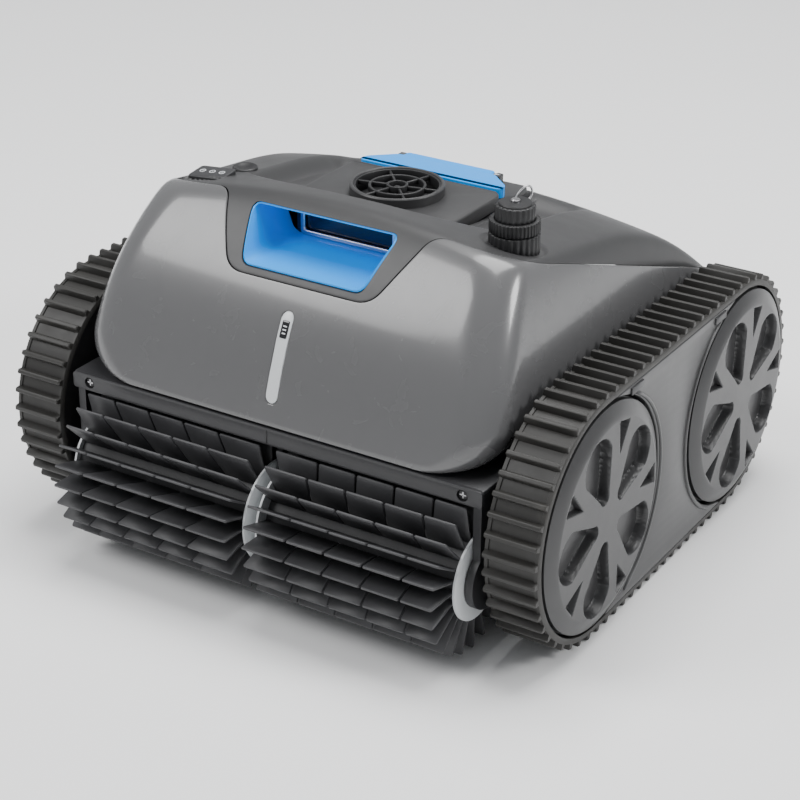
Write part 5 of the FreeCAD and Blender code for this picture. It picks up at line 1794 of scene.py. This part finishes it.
    def build(self) -> None:
        """Make every piece of the side."""
        word = self.side.word
        finish(self.belt(), f"{word}_belt", "chassis", "track_rubber", f"{word}_track_belt")
        finish(self.cover(), f"{word}_waist_cover", "chassis", "shell_grey", f"{word}_side_cover")
        for end in End:
            body = f"{word}_{end.value}_wheel"
            finish(self.cap(end), f"{word}_{end.value}_hub_cap", body, "cap_grey", f"{word}_{end.value}_cap")
            finish(self.wheel(end), f"{word}_{end.value}_drum", body, "dark_plastic",
                   f"{word}_{end.value}_wheel")


def sorted_pair(first: Vector, second: Vector) -> tuple[Vector, Vector]:
    """Lowest and highest corner of the box between two places."""
    low = Vector([min(a, b) for a, b in zip(first, second)])
    high = Vector([max(a, b) for a, b in zip(first, second)])
    return low, high


# ---------------------------------------------------------------- brush


class Brush:
    """One half of the roller brush: core, sleeve, rows of flat blades and pale discs."""

    AXIS = (-173.0, 62.5)
    SPAN = (6.0, 157.0)
    ROWS = 24
    PLATES = 5
    TIP = 57.6
    SLEEVE = 28.0
    SLEEVE_BORE = 26.05
    BLADE_WALL = 1.6
    BLADE_LEAN = 0.02
    SLIT_HALF = 0.6
    SLANT = 5.0
    CORE = 25.9
    CORE_BORE = 4.1
    DISC_BORE = 4.2
    DISCS = ((3.6, 6.0, 38.0), (159.5, 157.0, 32.0))
    STEPS = 360

    def __init__(self, side: Side, datum: Datum, paint: Paint, repeat: PathRepeat) -> None:
        """Keep what the half needs.

        Args:
            side: Side of the machine.
            datum: Sizes of the frame.
            paint: Every material.
            repeat: Tree that stands the blade rows round the sleeve.
        """
        self.side = side
        self.datum = datum
        self.paint = paint
        self.repeat = repeat

    def blade_spot(self, u: float, v: float, w: float) -> Vector:
        """Place on a blade that leans a little; depth runs through its wall."""
        return Vector((u * MM, w + (self.BLADE_LEAN * v - self.BLADE_WALL / 2) * MM, v * MM))

    def row(self) -> bpy.types.Object:
        """One row of flat plates parted by slanted slits, standing up from the sleeve.

        Returns:
            The row, standing along its own Z.
        """
        first, last = self.SPAN
        pitch = (last - first) / self.PLATES
        height = self.TIP - self.SLEEVE
        plates = []
        for number in range(self.PLATES):
            start = first + pitch * number + self.SLIT_HALF
            end = first + pitch * (number + 1) - self.SLIT_HALF
            left = 0.0 if number == 0 else self.SLANT
            right = 0.0 if number == self.PLATES - 1 else self.SLANT
            outline = [(start, -1.0), (end, -1.0), (end, 3.0), (end + right, height - 1.2),
                       (end + right - 0.8, height), (start + left + 0.8, height),
                       (start + left, height - 1.2), (start, 3.0)]
            outline = [(self.side.value * x, z) for x, z in outline]
            plates.append(slab("plate", outline, self.blade_spot, self.BLADE_WALL * MM,
                               self.paint["blade_rubber"], 0.35 * MM, 1))
        return join("row", plates)

    def blades(self) -> bpy.types.Object:
        """Stand the rows round the sleeve and add the sleeve.

        Returns:
            Every blade and the sleeve as one mesh.
        """
        template = self.row()
        turn = np.linspace(0, 2 * math.pi, self.STEPS, endpoint=False)
        circle = np.stack((np.zeros(self.STEPS), self.AXIS[0] + self.SLEEVE * np.cos(turn),
                           self.AXIS[1] + self.SLEEVE * np.sin(turn)), -1)
        template.data.transform(Matrix.Rotation(math.pi, 4, "X"))
        rows = self.repeat.spread("rows", self.datum.frame(circle), template, self.ROWS,
                                  self.paint["blade_rubber"])
        bpy.data.objects.remove(template)
        first, last = self.SPAN
        sleeve = lathe("sleeve", [(self.SLEEVE_BORE * MM, self.side.value * x * MM) for x in (first, last)]
                       + [(self.SLEEVE * MM, self.side.value * x * MM) for x in (last, first)],
                       self.datum.at(0.0, *self.AXIS), "x", self.paint["blade_rubber"], 72)
        return join("blades", [rows, sleeve])

    def core(self) -> bpy.types.Object:
        """Grey tube inside the sleeve with its closed ends."""
        first, last = self.SPAN
        sign = self.side.value
        places = [(self.CORE_BORE, first), (self.CORE, first), (self.CORE, last), (self.CORE_BORE, last)]
        return lathe("core", [(radius * MM, sign * x * MM) for radius, x in places],
                     self.datum.at(0.0, *self.AXIS), "x", self.paint["core_grey"], 64)

    def discs(self) -> bpy.types.Object:
        """Pale discs at both ends of the half, dished with a rolled rim.

        Returns:
            Both discs as one mesh.
        """
        sign = self.side.value
        parts = []
        for near, far, reach in self.DISCS:
            places = [(self.DISC_BORE, near), (reach - 8.0, near), (reach - 1.5, near),
                      (reach, near + (far - near) * 0.35), (reach, far), (reach - 2.0, far),
                      (self.DISC_BORE, far)]
            parts.append(lathe("disc", [(radius * MM, sign * x * MM) for radius, x in places],
                               self.datum.at(0.0, *self.AXIS), "x", self.paint["pale_plastic"], 80))
        return join("discs", parts)

    def build(self) -> None:
        """Make every piece of the half."""
        word = self.side.word
        finish(self.blades(), f"{word}_brush_rows", f"{word}_brush", "brush_rubber", f"{word}_brush_blades")
        finish(self.core(), f"{word}_brush_tube", f"{word}_brush", "brush_core_grey", f"{word}_brush_core")
        finish(self.discs(), f"{word}_brush_ends", f"{word}_brush", "pale_plastic", f"{word}_brush_discs")


# ---------------------------------------------------------------- front


class Bumper:
    """Dark strip under the shell with its two screws."""

    HALF = 168.0
    FRONT = -188.6
    DEPTH = 3.2
    BOTTOM = 121.5
    TOP = 133.5
    SCREWS = (-153.3, 153.3)
    SCREW_LEVEL = 127.5
    HOLE = 4.2
    SHELF = (-186.5, -112.0, 130.6, 133.4)
    HEAD = ((0.05, -185.6), (3.9, -185.6), (3.9, -187.0), (3.2, -187.5), (0.05, -187.6))
    CROSS = ((2.4, 0.5), (0.5, 2.4))

    def __init__(self, datum: Datum, paint: Paint) -> None:
        """Keep the sizes and finishes.

        Args:
            datum: Sizes of the frame.
            paint: Every material.
        """
        self.datum = datum
        self.paint = paint

    def strip(self) -> bpy.types.Object:
        """Strip and shelf with round screw holes and a centre seam.

        Returns:
            The bumper as one mesh.
        """
        datum, paint = self.datum, self.paint
        front = slab("front", rounded_outline(self.HALF, self.BOTTOM, self.TOP, 2.5),
                     lambda u, v, w: datum.at(u, self.FRONT + w / MM, v), self.DEPTH * MM,
                     paint["dark_plastic"], 0.0)
        drill = [(0.05 * MM, -0.2), (self.HOLE * MM, -0.2), (self.HOLE * MM, -0.1), (0.05 * MM, -0.1)]
        holes = [lathe("hole", drill, datum.at(x, 0.0, self.SCREW_LEVEL), "y", paint["dark_plastic"], 32)
                 for x in self.SCREWS]
        front = bevelled(carve(front, *holes), 0.6 * MM, 2)
        start, stop, low, high = self.SHELF
        shelf = block("shelf", datum.at(-self.HALF, start, low), datum.at(self.HALF, stop, high),
                      paint["dark_plastic"])
        seam = block("seam", datum.at(-0.5, -188.95, 122.5), datum.at(0.5, -188.2, 132.5),
                     paint["black_plastic"], 0.0002)
        return join("bumper", [front, shelf, seam])

    def screws(self) -> bpy.types.Object:
        """Round screw heads with a cross, sunk in the strip."""
        parts = []
        level = self.SCREW_LEVEL
        for x in self.SCREWS:
            parts.append(lathe("head", [(radius * MM, along * MM) for radius, along in self.HEAD],
                               self.datum.at(x, 0.0, level), "y", self.paint["black_plastic"], 32))
            for wide, tall in self.CROSS:
                parts.append(block("cross", self.datum.at(x - wide, -187.75, level - tall),
                                   self.datum.at(x + wide, -187.3, level + tall), self.paint["bare_steel"],
                                   0.0001))
        return join("screws", parts)

    def build(self) -> None:
        """Make the bumper and its screws."""
        finish(self.strip(), "bumper_strip", "chassis", "dark_plastic", "front_bumper")
        finish(self.screws(), "bumper_heads", "chassis", "dark_plastic", "bumper_screws")


# ---------------------------------------------------------------- the rest of the frame


KEPT = {
    "dark_plastic": ("chassis_tub", "intake_plate", "outlet_duct", "basket_base", "filter_basket",
                     "basket_sleeve", "right_brush_arm", "left_brush_arm", "brush_centre_arm",
                     "intake_flap", "propeller", "control_board", "battery_pack"),
    "track_rubber": ("shell_seal",),
    "bare_steel": ("idler_axles", "flap_hinge_pin", "port_pins"),
    "motor_can": ("pump_motor", "right_drive_motor", "left_drive_motor"),
}


def dress_frame(paint: Paint) -> None:
    """Give every CAD node that still shows a procedural finish.

    Args:
        paint: Every material.
    """
    dressed = set()
    for finish_name, nodes in KEPT.items():
        for node in nodes:
            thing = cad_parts.get(node)
            if thing is None:
                continue
            thing.data.materials.clear()
            thing.data.materials.append(paint[finish_name])
            dressed.add(node)
    for node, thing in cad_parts.items():
        if node not in dressed and not thing.hide_render:
            thing.data.materials.clear()
            thing.data.materials.append(paint["dark_plastic"])
            LOG.info("%s kept with the dark finish", node)


# ---------------------------------------------------------------- studio


class Studio:
    """Pale floor, soft lamps and the camera."""

    TARGET = Vector((0.11727, -0.19245, 0.19426))
    WAY = Vector((0.4700, -0.7631, 0.4435))
    DISTANCE = 1.33604
    ROLL = math.radians(0.5)
    LENS = 95.49
    SENSOR = 36.0
    AIM = Vector((0.0, 0.0, 0.12))
    LAMPS = (("key", (-1.5, -1.5, 2.2), 1.4, 50.0), ("rim", (2.3, 0.6, 1.6), 0.7, 34.0),
             ("top", (0.1, 0.5, 2.4), 1.6, 70.0))
    FLOOR_HALF = 6.0
    FLOOR_FRONT = -6.0
    FLOOR_BACK = 3.0
    SWEEP = 1.5
    SWEEP_STEPS = 12
    WALL_TOP = 6.0

    def lamp(self, name: str, place: tuple[float, float, float], size: float, power: float) -> None:
        """Add one soft square lamp that looks at the machine.

        Args:
            name: Name of the lamp.
            place: Where it hangs.
            size: Length of its side.
            power: Its power.
        """
        light = bpy.data.lights.new(name, "AREA")
        light.shape = "SQUARE"
        light.size = size
        light.energy = power
        thing = bpy.data.objects.new(name, light)
        thing.location = place
        way = self.AIM - Vector(place)
        thing.rotation_euler = way.to_track_quat("-Z", "Y").to_euler()
        bpy.context.scene.collection.objects.link(thing)

    def floor(self) -> None:
        """Add the pale floor that curves up behind the machine."""
        shape = bmesh.new()
        columns = (-self.FLOOR_HALF, self.FLOOR_HALF)
        profile = [(self.FLOOR_FRONT, 0.0), (self.FLOOR_BACK, 0.0)]
        for step in range(1, self.SWEEP_STEPS + 1):
            angle = math.pi / 2 * step / self.SWEEP_STEPS
            profile.append((self.FLOOR_BACK + self.SWEEP * math.sin(angle),
                            self.SWEEP - self.SWEEP * math.cos(angle)))
        profile.append((self.FLOOR_BACK + self.SWEEP, self.WALL_TOP))
        rows = [[shape.verts.new((x, y, z)) for x in columns] for y, z in profile]
        for first, second in zip(rows, rows[1:]):
            shape.faces.new((first[0], first[1], second[1], second[0]))
        material = bpy.data.materials.new("studio_floor")
        material.use_nodes = True
        tree = material.node_tree
        shader = tree.nodes["Principled BSDF"]
        place = add_node(tree, "ShaderNodeTexCoord").outputs["Object"]
        cloud = add_node(tree, "ShaderNodeTexNoise", {"Vector": place, "Scale": 2.0})
        tone = add_node(tree, "ShaderNodeMix", {"Factor": cloud.outputs["Fac"], "A": (0.9, 0.9, 0.9, 1),
                                                "B": (0.96, 0.96, 0.96, 1)}, data_type="RGBA")
        tree.links.new(tone.outputs["Result"], shader.inputs["Base Color"])
        shader.inputs["Roughness"].default_value = 0.7
        shader.inputs["Specular IOR Level"].default_value = 0.1
        object_from_bmesh("floor", shape, material)

    def world(self) -> None:
        """Light the scene evenly from all round."""
        scene = bpy.context.scene
        world = bpy.data.worlds.new("studio")
        world.use_nodes = True
        background = world.node_tree.nodes["Background"]
        background.inputs["Color"].default_value = (0.95, 0.97, 1.0, 1.0)
        background.inputs["Strength"].default_value = 0.45
        scene.world = world

    def camera(self) -> None:
        """Place the camera at the machine's front right, looking down."""
        scene = bpy.context.scene
        lens = bpy.data.cameras.new("camera")
        lens.lens = self.LENS
        lens.sensor_width = self.SENSOR
        lens.clip_end = 30.0
        thing = bpy.data.objects.new("camera", lens)
        back = self.WAY.normalized()
        right = Vector((0.0, 0.0, 1.0)).cross(back).normalized()
        up = back.cross(right)
        turned_right = right * math.cos(self.ROLL) + up * math.sin(self.ROLL)
        turned_up = back.cross(turned_right)
        place = self.TARGET + back * self.DISTANCE
        rows = Matrix((turned_right, turned_up, back)).transposed().to_4x4()
        thing.matrix_world = Matrix.Translation(place) @ rows
        scene.collection.objects.link(thing)
        scene.camera = thing

    def build(self) -> None:
        """Set up the floor, the light and the camera."""
        self.floor()
        self.world()
        for lamp in self.LAMPS:
            self.lamp(*lamp)
        self.camera()


def main() -> None:
    """Build every part of the machine in order."""
    logging.basicConfig(level=logging.INFO, format="%(name)s %(message)s")
    paint = Paint()
    datum = Datum.read()
    LOG.info("sizes: %s", datum)
    hull = Hull(datum)
    shell = BodyShell(hull, paint)
    shell.build()
    Deck(shell).build()
    Filter(datum, paint).build()
    Controls(hull, paint).build()
    repeat = PathRepeat()
    for side in Side:
        Track(side, datum, paint, repeat).build()
        Brush(side, datum, paint, repeat).build()
    Bumper(datum, paint).build()
    dress_frame(paint)
    Studio().build()


if __name__ == "__main__":
    main()
